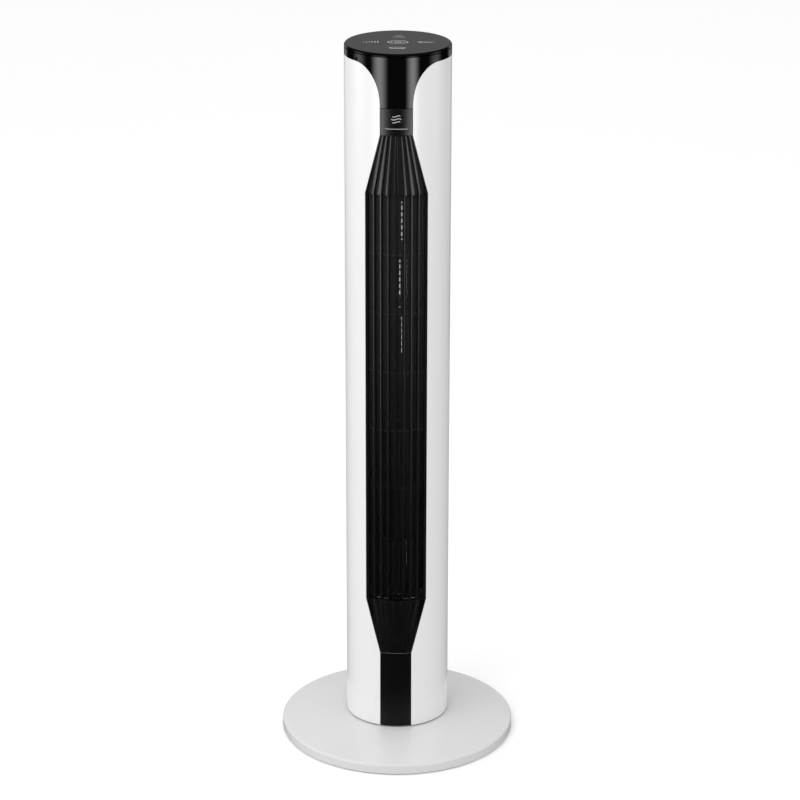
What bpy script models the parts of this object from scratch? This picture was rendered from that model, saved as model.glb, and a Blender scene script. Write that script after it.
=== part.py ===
"""Tower fan: a slim column with a cross-flow impeller, swinging on a round weighted base.

Metres, +Z up, front towards -Y. The origin is on the floor, on the axis of the column. Angles round the
column count from the front, positive towards +X.
"""

import math

import bmesh
import bpy
from mathutils import Vector

# Driving dimensions
TOTAL_HEIGHT = 0.914
COLUMN_RADIUS = 0.06565
COLUMN_BOTTOM = 0.0276
WALL = 0.0025
GAP = 0.0003

BASE_RADIUS = 0.150
BASE_UNDERSIDE = 0.0015
BASE_RIM_TOP = 0.0147
BASE_CREST = 0.0262
BASE_FLAT_RADIUS = 0.052
BASE_EDGE_ROUND = 0.0034
BASE_DOME_POWER = 1.5
BASE_HOLE_RADIUS = 0.022
BOTTOM_PLATE_RADIUS = 0.1465
BOTTOM_PLATE_THICKNESS = 0.0017
WEIGHT_INNER_RADIUS = 0.030
WEIGHT_OUTER_RADIUS = 0.120
WEIGHT_THICKNESS = 0.007
FOOT_COUNT = 5
FOOT_CIRCLE = 0.128
FOOT_RADIUS = 0.0105
BASE_SCREW_COUNT = 4
BASE_SCREW_CIRCLE = 0.100

# The black front, from the bottom up: strip, lower taper, grille, upper taper, badge, neck, flare, cap
NECK_HALF_WIDTH = 0.0198
GRILLE_HALF_WIDTH = 0.0381
STRIP_TOP = 0.1305
LOWER_TAPER_TOP = 0.2025
UPPER_TAPER_BOTTOM = 0.7397
BADGE_BOTTOM = 0.8139
BADGE_TOP = 0.8475
FLARE_BOTTOM = 0.850
SHELL_TOP = 0.901
FLARE_END_ANGLE = math.radians(50)
FLARE_POWER = 2.1
FLARE_STEPS = (0, 18, 34, 50, 64, 77, 90)
TAPER_STEPS = 4
WEB_THICKNESS = 0.00095
GRILLE_DEPTH = 0.00415
GRILLE_RIB_DEPTH = 0.0026
RIB_COUNT = 7
RIB_PITCH = math.radians(8.5)
RIB_SHARE = 0.029
FRAME_SHARE = 0.033
WIRE_COUNT = 8
WIRE_HEIGHT = 0.002

PANEL_THICKNESS = 0.0037
PANEL_EDGE_ROUND = 0.0028
PANEL_SEAM = 0.0006
DECK_THICKNESS = 0.0025
DECK_INNER_RADIUS = 0.045
BOARD_THICKNESS = 0.0016

# The intake at the back
WINDOW_HALF_ANGLE = math.radians(50)
WINDOW_BOTTOM = 0.195
WINDOW_TOP = 0.730
SLAT_COUNT = 22
SLAT_HEIGHT = 0.012
INTAKE_FRAME = 0.006

# The turning parts and what carries them
PAN_RADIUS = 0.0628
BRACKET_RADIUS = 0.0611
RIM_INNER_RADIUS = 0.059
PLATE = 0.0026
FLOOR_BOTTOM = 0.0282
FLOOR_RIM_TOP = 0.046
MOTOR_BRACKET_TOP = 0.1906
MOTOR_BRACKET_RIM = 0.176
UPPER_BRACKET_BOTTOM = 0.741
UPPER_BRACKET_RIM = 0.757
IMPELLER_RADIUS = 0.039
BLADE_INNER_RADIUS = 0.031
BLADE_COUNT = 12
BLADE_THICKNESS = 0.0016
BLADE_LEAN = math.radians(14)
SEGMENT_COUNT = 7
IMPELLER_BOTTOM = 0.2028
IMPELLER_TOP = 0.7267
DISC = 0.002
MOTOR_RADIUS = 0.040
MOTOR_SHAFT_RADIUS = 0.004
AXLE_RADIUS = 0.003
POST_RADIUS = 0.012
POST_TOP = 0.0455
POST_FLANGE_RADIUS = 0.045

# Oscillation drive: the pinion on the column walks round the fixed gear on the post
GEAR_MODULE = 0.002
FIXED_TEETH = 30
PINION_TEETH = 10
GEAR_BOTTOM = 0.033
GEAR_TOP = 0.039
TOOTH_SLACK = 0.0004
TOOTH_TIP = 0.75 * GEAR_MODULE
TOOTH_ROOT = 1.2 * GEAR_MODULE
FLANK_ANGLE = math.radians(22)
PINION_DISTANCE = GEAR_MODULE * (FIXED_TEETH + PINION_TEETH) / 2

LOOM_RADIUS = 0.0025
LOOM_CIRCLE = 0.054
LOOM_ANGLE = math.radians(-120)
SCREW_ANGLES = (math.radians(150), math.radians(-150))
SCREW_HEIGHTS = (0.0385, 0.7495)
SCREW_SHANK_RADIUS = 0.0015
SCREW_HEAD_RADIUS = 0.003
CORD_WIDTH = 0.0062
CORD_THICKNESS = 0.0036
GLAND_WALL = 0.0014
GLAND_HEIGHT = 0.0074
GLAND_LENGTH = 0.007
FACING_BACK = (math.radians(90), 0, 0)


def clear_scene():
    for thing in list(bpy.data.objects):
        bpy.data.objects.remove(thing, do_unlink=True)


def material(name, colour, roughness, metallic=0.0):
    """A Principled material, made once for each name."""
    if name in bpy.data.materials:
        return bpy.data.materials[name]
    made = bpy.data.materials.new(name)
    made.use_nodes = True
    shader = made.node_tree.nodes["Principled BSDF"]
    shader.inputs["Base Color"].default_value = (*colour, 1)
    shader.inputs["Roughness"].default_value = roughness
    shader.inputs["Metallic"].default_value = metallic
    return made


def white_plastic():
    return material("white_gloss_plastic", (0.85, 0.85, 0.85), 0.25)


def black_gloss():
    return material("black_gloss_plastic", (0.006, 0.006, 0.007), 0.12)


def black_satin():
    return material("black_satin_plastic", (0.010, 0.010, 0.011), 0.3)


def grey_plastic():
    return material("grey_plastic", (0.18, 0.18, 0.19), 0.5)


def steel():
    return material("steel", (0.55, 0.55, 0.56), 0.35, 1.0)


def rubber():
    return material("black_rubber", (0.02, 0.02, 0.02), 0.8)


def nylon():
    return material("natural_nylon", (0.75, 0.74, 0.68), 0.45)


def circuit():
    return material("circuit_board", (0.03, 0.16, 0.08), 0.45)


def add_object(name, mesh, finish, parent, place=(0, 0, 0), turn=(0, 0, 0)):
    """Puts a mesh in the scene as a named piece, smooth but for its real edges."""
    made = bpy.data.objects.new(name, mesh)
    bpy.context.scene.collection.objects.link(made)
    if not mesh.materials:
        mesh.materials.append(finish)
    mesh.shade_smooth()
    mesh.set_sharp_from_angle(angle=math.radians(32))
    made.location = place
    made.rotation_euler = turn
    made.parent = parent
    return made


def add_empty(name, place=(0, 0, 0), parent=None):
    made = bpy.data.objects.new(name, None)
    bpy.context.scene.collection.objects.link(made)
    made.location = place
    made.parent = parent
    return made


def mesh_from(name, shape):
    """Turns a bmesh into a mesh with its faces outward."""
    bmesh.ops.recalc_face_normals(shape, faces=shape.faces)
    mesh = bpy.data.meshes.new(name)
    shape.to_mesh(mesh)
    shape.free()
    return mesh


def polar(angle, radius, z):
    return Vector((radius * math.sin(angle), -radius * math.cos(angle), z))


def steps(first, last, count):
    return [first + (last - first) * index / count for index in range(count + 1)]


def rounding(centre_radius, centre_z, size, angles):
    """Profile points on an edge's rounding, at the given angles in degrees above the horizontal."""
    turns = [math.radians(angle) for angle in angles]
    return [(centre_radius + size * math.cos(turn), centre_z + size * math.sin(turn)) for turn in turns]


def everywhere(u, depth, height):
    return True


def lattice_mesh(name, across, depths, heights, solid, place, ring=False):
    """The closed skin of a grid's solid cells.

    solid(u, depth, height) says whether the cell about that middle is filled, and place(u, depth, height)
    gives a corner's position. With ring set, the last line across joins the first.
    """
    shape = bmesh.new()
    corners = {}
    columns = len(across) if ring else len(across) - 1

    def middle(values, index):
        if ring and values is across and index == len(across) - 1:
            return values[index] + 0.5 * (values[1] - values[0])
        return 0.5 * (values[index] + values[index + 1])

    filled = {
        (i, j, k)
        for i in range(columns)
        for j in range(len(depths) - 1)
        for k in range(len(heights) - 1)
        if solid(middle(across, i), middle(depths, j), middle(heights, k))
    }

    def corner(i, j, k):
        key = (i % len(across), j, k)
        if key not in corners:
            corners[key] = shape.verts.new(place(across[key[0]], depths[j], heights[k]))
        return corners[key]

    def beside(i, j, k, step):
        i += step[0]
        return (i % columns if ring else i, j + step[1], k + step[2])

    sides = (
        ((-1, 0, 0), ((0, 0, 0), (0, 0, 1), (0, 1, 1), (0, 1, 0))),
        ((1, 0, 0), ((1, 0, 0), (1, 1, 0), (1, 1, 1), (1, 0, 1))),
        ((0, -1, 0), ((0, 0, 0), (1, 0, 0), (1, 0, 1), (0, 0, 1))),
        ((0, 1, 0), ((0, 1, 0), (0, 1, 1), (1, 1, 1), (1, 1, 0))),
        ((0, 0, -1), ((0, 0, 0), (0, 1, 0), (1, 1, 0), (1, 0, 0))),
        ((0, 0, 1), ((0, 0, 1), (1, 0, 1), (1, 1, 1), (0, 1, 1))),
    )
    for i, j, k in sorted(filled):
        for step, quad in sides:
            if beside(i, j, k, step) not in filled:
                shape.faces.new([corner(i + a, j + b, k + c) for a, b, c in quad])
    return mesh_from(name, shape)


def turned_mesh(name, profile, segments):
    """A closed outline of (radius, z) points, turned round Z. A point of radius 0 lies on the axis."""
    shape = bmesh.new()
    rings = []
    for radius, z in profile:
        if radius == 0:
            rings.append([shape.verts.new((0, 0, z))])
            continue
        angles = [math.tau * index / segments for index in range(segments)]
        rings.append([shape.verts.new((radius * math.cos(a), radius * math.sin(a), z)) for a in angles])
    for ring, following in zip(rings, rings[1:] + rings[:1]):
        if len(ring) == 1 and len(following) == 1:
            continue
        for index in range(segments):
            after = (index + 1) % segments
            if len(ring) == 1:
                corners = (ring[0], following[after], following[index])
            elif len(following) == 1:
                corners = (ring[index], ring[after], following[0])
            else:
                corners = (ring[index], ring[after], following[after], following[index])
            shape.faces.new(corners)
    return mesh_from(name, shape)


def tube_mesh(name, inner, outer, low, high, segments):
    return turned_mesh(name, [(inner, low), (outer, low), (outer, high), (inner, high)], segments)


def strip_mesh(name, left, right, low, high):
    """An upright wall between two rows of (x, y) points that run side by side."""

    def place(u, depth, z):
        x, y = (left, right)[depth][u]
        return Vector((x, y, z))

    return lattice_mesh(name, list(range(len(left))), [0, 1], [low, high], everywhere, place)


def box_mesh(name, size):
    shape = bmesh.new()
    bmesh.ops.create_cube(shape, size=1)
    bmesh.ops.scale(shape, vec=size, verts=shape.verts)
    return mesh_from(name, shape)


def helper(made):
    made.hide_render = True
    made.display_type = "WIRE"
    return made


def combine(target, others, operation):
    """Keeps a live Boolean on the target for each helper object."""
    for other in others:
        modifier = target.modifiers.new(other.name, "BOOLEAN")
        modifier.operation = operation
        modifier.object = helper(other)


# ---- the black front's outline ----


def flare_height(angle):
    """Height on the flare's quarter of a superellipse, from its foot at 0 to its top at 90 degrees."""
    return FLARE_BOTTOM + (SHELL_TOP - FLARE_BOTTOM) * math.sin(angle) ** (2 / FLARE_POWER)


def front_half_width(z):
    """Half the width of the black front at a height, below the flare."""
    if z <= STRIP_TOP or z >= BADGE_BOTTOM:
        return NECK_HALF_WIDTH
    if z < LOWER_TAPER_TOP:
        share = (z - STRIP_TOP) / (LOWER_TAPER_TOP - STRIP_TOP)
    elif z <= UPPER_TAPER_BOTTOM:
        share = 1
    else:
        share = (BADGE_BOTTOM - z) / (BADGE_BOTTOM - UPPER_TAPER_BOTTOM)
    return NECK_HALF_WIDTH + share * (GRILLE_HALF_WIDTH - NECK_HALF_WIDTH)


def front_half_angle(z):
    """Half the angle that the black front covers at a height."""
    start = math.asin(front_half_width(z) / COLUMN_RADIUS)
    if z <= FLARE_BOTTOM:
        return start
    rise = min((z - FLARE_BOTTOM) / (SHELL_TOP - FLARE_BOTTOM), 1)
    share = (1 - rise**FLARE_POWER) ** (1 / FLARE_POWER)
    return FLARE_END_ANGLE - (FLARE_END_ANGLE - start) * share


def flare_levels():
    return [flare_height(math.radians(step)) for step in FLARE_STEPS]


def lower_taper_levels():
    return steps(STRIP_TOP, LOWER_TAPER_TOP, TAPER_STEPS)[1:]


def upper_taper_levels():
    return steps(UPPER_TAPER_BOTTOM, BADGE_BOTTOM, TAPER_STEPS)[:-1]


# ---- the base ----


def dome_height(radius):
    """Height of the base's top surface between its flat middle and its rim."""
    rim = BASE_RADIUS - BASE_EDGE_ROUND
    share = (radius - BASE_FLAT_RADIUS) / (rim - BASE_FLAT_RADIUS)
    return BASE_CREST - (BASE_CREST - BASE_RIM_TOP) * max(share, 0) ** BASE_DOME_POWER


def make_base_cover(base):
    """The round cover: an edge rounding, a dome that flattens towards the column, and an even wall below."""
    rim = BASE_RADIUS - BASE_EDGE_ROUND
    dome = steps(rim, BASE_FLAT_RADIUS, 4)
    profile = [(BASE_RADIUS, BASE_UNDERSIDE)]
    profile += rounding(rim, BASE_RIM_TOP - BASE_EDGE_ROUND, BASE_EDGE_ROUND, (0, 30, 60))
    profile += [(radius, dome_height(radius)) for radius in dome]
    profile += [(BASE_HOLE_RADIUS, BASE_CREST), (BASE_HOLE_RADIUS, BASE_CREST - WALL)]
    profile += [(radius - 0.4 * WALL, dome_height(radius) - WALL) for radius in dome[:1:-1]]
    profile += [(BASE_RADIUS - WALL, BASE_RIM_TOP - 2 * WALL), (BASE_RADIUS - WALL, BASE_UNDERSIDE)]
    cover = add_object("base_cover", turned_mesh("base_cover", profile, 56), white_plastic(), base)
    outline = gland_outline(GLAND_WALL + GAP)
    hole = slot_bar_mesh("gland_hole", outline, 0.02)
    place = (0, BASE_RADIUS, GLAND_HEIGHT)
    combine(cover, [add_object("gland_hole", hole, white_plastic(), base, place, FACING_BACK)], "DIFFERENCE")


def gland_outline(margin):
    """The cord's slot with a margin round it, in the XY plane, with round ends."""
    radius = CORD_THICKNESS / 2 + margin
    middle = (CORD_WIDTH - CORD_THICKNESS) / 2
    points = []
    for side in (1, -1):
        for angle in steps(-90, 90, 4):
            turn = math.radians(angle)
            points.append((side * (middle + radius * math.cos(turn)), side * radius * math.sin(turn)))
    return points


def slot_bar_mesh(name, outline, length):
    """A bar with the given outline, centred on the origin along Z."""
    shape = bmesh.new()
    low = [shape.verts.new((x, y, -length / 2)) for x, y in outline]
    high = [shape.verts.new((x, y, length / 2)) for x, y in outline]
    shape.faces.new(low)
    shape.faces.new(high)
    for index in range(len(low)):
        after = (index + 1) % len(low)
        shape.faces.new((low[index], low[after], high[after], high[index]))
    return mesh_from(name, shape)


def make_cord_gland(base):
    outer = gland_outline(GLAND_WALL)
    inner = gland_outline(0)

    def place(u, depth, z):
        x, y = (inner, outer)[depth][u]
        return Vector((x, y, z))

    ends = [-GLAND_LENGTH / 2, GLAND_LENGTH / 2]
    mesh = lattice_mesh("cord_gland", list(range(len(outer))), [0, 1], ends, everywhere, place, ring=True)
    position = (0, BASE_RADIUS - GLAND_LENGTH / 2 - 0.0005, GLAND_HEIGHT)
    add_object("cord_gland", mesh, rubber(), base, position, FACING_BACK)


def base_screw_places():
    for index in range(BASE_SCREW_COUNT):
        yield polar(math.tau * (index + 0.5) / BASE_SCREW_COUNT, BASE_SCREW_CIRCLE, 0)


def make_base_inside(base):
    """The bottom plate and the steel weight, held by screws from below. Returns the weight's top."""
    plate_top = BASE_UNDERSIDE + BOTTOM_PLATE_THICKNESS
    weight_low = plate_top + 0.0008
    weight_high = weight_low + WEIGHT_THICKNESS
    profile = [(0, BASE_UNDERSIDE), (BOTTOM_PLATE_RADIUS, BASE_UNDERSIDE)]
    profile += [(BOTTOM_PLATE_RADIUS, plate_top), (0, plate_top)]
    sheet = turned_mesh("base_bottom_plate", profile, 60)
    plate = add_object("base_bottom_plate", sheet, grey_plastic(), base)
    ring = tube_mesh("base_weight", WEIGHT_INNER_RADIUS, WEIGHT_OUTER_RADIUS, weight_low, weight_high, 32)
    weight = add_object("base_weight", ring, steel(), base)
    head = 0.0035
    head_top = 0.0012
    shank = 0.0016
    tip = 0.0095
    bore = shank + 0.0005
    drill = turned_mesh("drill", [(0, -0.02), (bore, -0.02), (bore, 0.02), (0, 0.02)], 12)
    profile = [(0, GAP), (head, GAP), (head, head_top), (shank, head_top), (shank, tip), (0, tip)]
    screw = turned_mesh("base_screw", profile, 10)
    for index, place in enumerate(base_screw_places()):
        cutter = add_object(f"drill_{index + 1}", drill, steel(), base, place)
        combine(plate, [cutter], "DIFFERENCE")
        combine(weight, [cutter], "DIFFERENCE")
        add_object(f"base_screw_{index + 1}", screw, steel(), base, place)
    return weight_high


def make_feet(base):
    """Rubber pads under the bottom plate, with a chamfer at the floor."""
    top = BASE_UNDERSIDE - GAP
    profile = [(0, 0), (FOOT_RADIUS - 0.001, 0), (FOOT_RADIUS, 0.0006), (FOOT_RADIUS, top), (0, top)]
    foot = turned_mesh("base_foot", profile, 16)
    for index in range(FOOT_COUNT):
        place = polar(math.tau * index / FOOT_COUNT, FOOT_CIRCLE, 0)
        add_object(f"base_foot_{index + 1}", foot, rubber(), base, place)


def make_post(base, weight_top):
    """The hollow post that the column turns on, its slide ring, and the washer and clip above the gear."""
    low = weight_top + GAP
    flange_top = low + 0.003
    bore = 0.008
    profile = [(bore, low), (POST_FLANGE_RADIUS, low), (POST_FLANGE_RADIUS, flange_top)]
    profile += [(POST_RADIUS, flange_top), (POST_RADIUS, POST_TOP), (bore, POST_TOP)]
    add_object("pivot_post", turned_mesh("pivot_post", profile, 24), steel(), base)
    ring = tube_mesh("slide_ring", 0.0205, 0.040, BASE_CREST + GAP, FLOOR_BOTTOM - GAP, 32)
    add_object("slide_ring", ring, nylon(), base)
    fit = POST_RADIUS + GAP
    sheet = 0.0012
    washer_low = GEAR_TOP + GAP
    washer = tube_mesh("post_washer", fit, 0.020, washer_low, washer_low + sheet, 24)
    add_object("post_washer", washer, steel(), base)
    clip_low = washer_low + sheet + GAP
    clip = tube_mesh("post_clip", fit, 0.0165, clip_low, clip_low + sheet, 24)
    add_object("post_clip", clip, steel(), base)


def gear_mesh(name, teeth, bore):
    """A spur gear with straight flanks. A tooth is centred on -Y."""
    pitch_radius = GEAR_MODULE * teeth / 2
    half_tooth = math.pi * GEAR_MODULE / 4 - TOOTH_SLACK
    slope = math.tan(FLANK_ANGLE)
    outline = []
    for tooth in range(teeth):
        middle = math.tau * tooth / teeth
        for side, depth in ((-1, -TOOTH_ROOT), (-1, TOOTH_TIP), (1, TOOTH_TIP), (1, -TOOTH_ROOT)):
            radius = pitch_radius + depth
            outline.append((middle + side * (half_tooth - depth * slope) / radius, radius))

    def place(u, depth, z):
        angle, radius = outline[u]
        return polar(angle, radius if depth else bore, z)

    indices = list(range(len(outline)))
    return lattice_mesh(name, indices, [0, 1], [GEAR_BOTTOM, GEAR_TOP], everywhere, place, ring=True)


def make_fixed_gear(base):
    half_pitch = math.pi / FIXED_TEETH
    mesh = gear_mesh("fixed_gear", FIXED_TEETH, POST_RADIUS + GAP)
    add_object("fixed_gear", mesh, nylon(), base, turn=(0, 0, half_pitch))


# ---- the column ----


def make_front_shell(column):
    inner = COLUMN_RADIUS - WALL
    web = inner + WEB_THICKNESS
    side = steps(1, 2, 7)
    across = [-u for u in side[::-1]] + [-0.5, 0, 0.5] + side
    heights = [COLUMN_BOTTOM, STRIP_TOP - GAP / 2] + lower_taper_levels() + upper_taper_levels()
    heights += [BADGE_BOTTOM + GAP / 2, BADGE_TOP - GAP / 2] + [z - GAP for z in flare_levels()]

    def solid(u, radius, z):
        behind = z < STRIP_TOP or BADGE_BOTTOM < z < BADGE_TOP
        return abs(u) > 1 or (behind and radius < web)

    def place(u, radius, z):
        edge = front_half_angle(z + GAP if z > BADGE_TOP else z) + GAP / COLUMN_RADIUS
        seam = math.radians(90) - GAP / 2 / COLUMN_RADIUS
        size = abs(u)
        angle = size * edge if size <= 1 else edge + (size - 1) * (seam - edge)
        return polar(math.copysign(angle, u), radius, z)

    mesh = lattice_mesh("front_shell", across, [inner, web, COLUMN_RADIUS], heights, solid, place)
    add_object("front_shell", mesh, white_plastic(), column)


def make_rear_shell(column):
    inner = COLUMN_RADIUS - WALL
    seam = math.radians(90) + GAP / 2 / COLUMN_RADIUS
    left = math.pi - WINDOW_HALF_ANGLE
    right = math.pi + WINDOW_HALF_ANGLE
    across = steps(seam, left, 4) + steps(left, right, 10)[1:] + steps(right, math.tau - seam, 4)[1:]

    def solid(angle, radius, z):
        return not (left < angle < right and WINDOW_BOTTOM < z < WINDOW_TOP)

    heights = [COLUMN_BOTTOM, WINDOW_BOTTOM, WINDOW_TOP, SHELL_TOP - GAP]
    mesh = lattice_mesh("rear_shell", across, [inner, COLUMN_RADIUS], heights, solid, polar)
    return add_object("rear_shell", mesh, white_plastic(), column)


def make_rear_grille(column):
    edge = WINDOW_HALF_ANGLE - GAP / COLUMN_RADIUS
    frame = edge - 0.0035 / COLUMN_RADIUS
    post = 0.0012 / COLUMN_RADIUS
    post_angle = edge / 3
    half = [post_angle - post, post_angle + post, 0.5 * (post_angle + frame), frame, edge]
    across = [math.pi - angle for angle in half[::-1]] + [math.pi] + [math.pi + angle for angle in half]
    low = WINDOW_BOTTOM + GAP
    high = WINDOW_TOP - GAP
    pitch = (high - low - 2 * INTAKE_FRAME) / SLAT_COUNT
    heights = [low]
    for index in range(SLAT_COUNT):
        slot_middle = low + INTAKE_FRAME + (index + 0.5) * pitch
        heights += [slot_middle - (pitch - SLAT_HEIGHT) / 2, slot_middle + (pitch - SLAT_HEIGHT) / 2]
    heights.append(high)

    def solid(angle, radius, z):
        from_middle = abs(angle - math.pi)
        if from_middle > frame or abs(from_middle - post_angle) < post:
            return True
        level = sum(z > height for height in heights)
        return level % 2 == 1

    mesh = lattice_mesh(
        "rear_grille", across, [COLUMN_RADIUS - WALL, COLUMN_RADIUS - GAP], heights, solid, polar
    )
    add_object("rear_grille", mesh, white_plastic(), column)


def make_front_grille(column):
    """Ribs an even angle apart and level wires behind them; solid between the ribs in both tapers."""
    inner = COLUMN_RADIUS - GRILLE_DEPTH
    rib_back = COLUMN_RADIUS - GRILLE_RIB_DEPTH
    turns = [(index - (RIB_COUNT - 1) / 2) * RIB_PITCH for index in range(RIB_COUNT)]
    ribs = [math.sin(turn) * COLUMN_RADIUS / GRILLE_HALF_WIDTH for turn in turns]
    across = [-1, -1 + FRAME_SHARE]
    for rib in ribs:
        across += [rib - RIB_SHARE, rib + RIB_SHARE]
    across += [1 - FRAME_SHARE, 1]
    pitch = (UPPER_TAPER_BOTTOM - LOWER_TAPER_TOP) / (WIRE_COUNT + 1)
    wires = [LOWER_TAPER_TOP + (index + 1) * pitch for index in range(WIRE_COUNT)]
    heights = [STRIP_TOP + GAP / 2] + lower_taper_levels()
    for wire in wires:
        heights += [wire - WIRE_HEIGHT / 2, wire + WIRE_HEIGHT / 2]
    heights += upper_taper_levels() + [BADGE_BOTTOM - GAP / 2]

    def solid(u, radius, z):
        if abs(u) > 1 - FRAME_SHARE:
            return True
        if radius > rib_back:
            return any(abs(u - rib) < RIB_SHARE for rib in ribs)
        tapered = z < LOWER_TAPER_TOP or z > UPPER_TAPER_BOTTOM
        return tapered or any(abs(z - wire) < WIRE_HEIGHT / 2 for wire in wires)

    def place(u, radius, z):
        return polar(math.asin(u * front_half_width(z) / COLUMN_RADIUS), radius, z)

    mesh = lattice_mesh("front_grille", across, [inner, rib_back, COLUMN_RADIUS], heights, solid, place)
    add_object("front_grille", mesh, black_satin(), column)


def make_inlay(name, low, high, finish, column):
    """A curved plate that fills the black front between two heights, over the shell's web."""
    inner = COLUMN_RADIUS - WALL + WEB_THICKNESS + GAP

    def place(u, radius, z):
        return polar(u * front_half_angle(z), radius, z)

    mesh = lattice_mesh(name, steps(-1, 1, 4), [inner, COLUMN_RADIUS], [low, high], everywhere, place)
    add_object(name, mesh, finish, column)


def make_head(column):
    """The black neck, its flare and the round cap, in one piece with a deck for the panel."""
    inner = COLUMN_RADIUS - WALL
    top = TOTAL_HEIGHT - PANEL_THICKNESS - PANEL_SEAM
    deck = top - DECK_THICKNESS
    heights = [BADGE_TOP + GAP / 2] + flare_levels() + [deck, top]
    across = steps(-1, 1, 10) + steps(1, 3, 26)[1:-1]

    def solid(u, radius, z):
        if radius < inner:
            return z > deck
        return z > SHELL_TOP or u < 1

    def place(u, radius, z):
        if u <= 1:
            return polar(u * front_half_angle(z), radius, z)
        return polar(FLARE_END_ANGLE + (u - 1) * (math.pi - FLARE_END_ANGLE), radius, z)

    mesh = lattice_mesh(
        "head_housing", across, [DECK_INNER_RADIUS, inner, COLUMN_RADIUS], heights, solid, place, ring=True
    )
    add_object("head_housing", mesh, black_gloss(), column)


def make_control_top(column):
    """The touch panel that closes the top, and the round board below the deck."""
    low = TOTAL_HEIGHT - PANEL_THICKNESS
    flat = COLUMN_RADIUS - PANEL_EDGE_ROUND
    profile = [(0, low), (COLUMN_RADIUS - 0.0012, low), (COLUMN_RADIUS, low + 0.0006)]
    profile += rounding(flat, TOTAL_HEIGHT - PANEL_EDGE_ROUND, PANEL_EDGE_ROUND, (0, 30, 60, 90))
    profile.append((0, TOTAL_HEIGHT))
    add_object("control_panel", turned_mesh("control_panel", profile, 36), black_satin(), column)
    board_radius = 0.054
    board_top = low - PANEL_SEAM - DECK_THICKNESS - GAP
    board_low = board_top - BOARD_THICKNESS
    profile = [(0, board_low), (board_radius, board_low), (board_radius, board_top), (0, board_top)]
    add_object("control_board", turned_mesh("control_board", profile, 28), circuit(), column)


def make_column_floor(column):
    """The pan at the column's foot that turns on the slide ring."""
    bore = POST_RADIUS + 2 * GAP
    hub = 0.018
    top = FLOOR_BOTTOM + PLATE
    profile = [(bore, FLOOR_BOTTOM), (PAN_RADIUS, FLOOR_BOTTOM), (PAN_RADIUS, FLOOR_RIM_TOP)]
    profile += [(RIM_INNER_RADIUS, FLOOR_RIM_TOP), (RIM_INNER_RADIUS, top), (hub, top)]
    profile += [(hub, GEAR_BOTTOM - GAP), (bore, GEAR_BOTTOM - GAP)]
    mesh = turned_mesh("column_floor", profile, 32)
    return add_object("column_floor", mesh, grey_plastic(), column)


def make_brackets(column):
    """The two bulkheads that close the air duct, with a notch each for the loom."""
    low = UPPER_BRACKET_BOTTOM
    bore = 0.0102
    profile = [(bore, low), (BRACKET_RADIUS, low), (BRACKET_RADIUS, UPPER_BRACKET_RIM)]
    profile += [(RIM_INNER_RADIUS, UPPER_BRACKET_RIM), (RIM_INNER_RADIUS, low + PLATE), (bore, low + PLATE)]
    upper = add_object("upper_bracket", turned_mesh("upper_bracket", profile, 32), grey_plastic(), column)
    high = MOTOR_BRACKET_TOP
    bore = 0.0145
    profile = [(bore, high - PLATE), (RIM_INNER_RADIUS, high - PLATE), (RIM_INNER_RADIUS, MOTOR_BRACKET_RIM)]
    profile += [(BRACKET_RADIUS, MOTOR_BRACKET_RIM), (BRACKET_RADIUS, high), (bore, high)]
    lower = add_object("motor_bracket", turned_mesh("motor_bracket", profile, 32), grey_plastic(), column)
    radius = LOOM_RADIUS + 0.001
    notch = turned_mesh("loom_notch", [(0, -0.01), (radius, -0.01), (radius, 0.01), (0, 0.01)], 12)
    for bracket, height in ((upper, low), (lower, high)):
        place = polar(LOOM_ANGLE, LOOM_CIRCLE, height)
        cutter = add_object(f"loom_notch_{bracket.name}", notch, grey_plastic(), column, place)
        combine(bracket, [cutter], "DIFFERENCE")
    return upper


def make_shell_screws(column, rear_shell, floor, upper):
    """Screws that enter from behind, through the rear shell, into the rims of the pan and the bracket."""
    head = SCREW_HEAD_RADIUS
    shank = SCREW_SHANK_RADIUS
    seat = COLUMN_RADIUS - 0.0021
    proud = COLUMN_RADIUS - 0.0007
    tip = RIM_INNER_RADIUS - 0.001
    profile = [(0, tip), (shank, tip), (shank, seat), (head, seat), (head, proud), (0, proud)]
    screw = turned_mesh("shell_screw", profile, 10)
    well_radius = head + 0.0004
    well_floor = COLUMN_RADIUS - WALL - 0.00065
    well_end = COLUMN_RADIUS + 0.004
    profile = [(0, well_floor), (well_radius, well_floor), (well_radius, well_end), (0, well_end)]
    wide = turned_mesh("screw_well", profile, 12)
    bore_radius = shank + 0.0004
    profile = [(0, 0.055), (bore_radius, 0.055), (bore_radius, 0.064), (0, 0.064)]
    narrow = turned_mesh("screw_bore", profile, 12)
    number = 0
    for height, holder in zip(SCREW_HEIGHTS, (floor, upper)):
        for angle in SCREW_ANGLES:
            number += 1
            turn = (0, math.radians(90), angle - math.radians(90))
            place = (0, 0, height)
            well = add_object(f"screw_well_{number}", wide, steel(), column, place, turn)
            bore = add_object(f"screw_bore_{number}", narrow, steel(), column, place, turn)
            combine(rear_shell, [well], "DIFFERENCE")
            combine(holder, [bore], "DIFFERENCE")
            add_object(f"shell_screw_{number}", screw, steel(), column, place, turn)


def duct_wall(name, angles, radii, column):
    """An upright curved wall whose radius runs evenly from one value to another."""
    thickness = 0.0018
    count = 9
    low = MOTOR_BRACKET_TOP + GAP
    high = UPPER_BRACKET_BOTTOM - GAP
    rows = list(zip(steps(math.radians(angles[0]), math.radians(angles[1]), count), steps(*radii, count)))
    inner = [polar(angle, radius, 0).xy for angle, radius in rows]
    outer = [polar(angle, radius + thickness, 0).xy for angle, radius in rows]
    add_object(name, strip_mesh(name, inner, outer, low, high), grey_plastic(), column)


def make_duct(column):
    duct_wall("duct_scroll", (-40, -150), (0.0585, 0.0415), column)
    duct_wall("duct_tongue", (39, 80), (0.0585, 0.0415), column)


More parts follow.
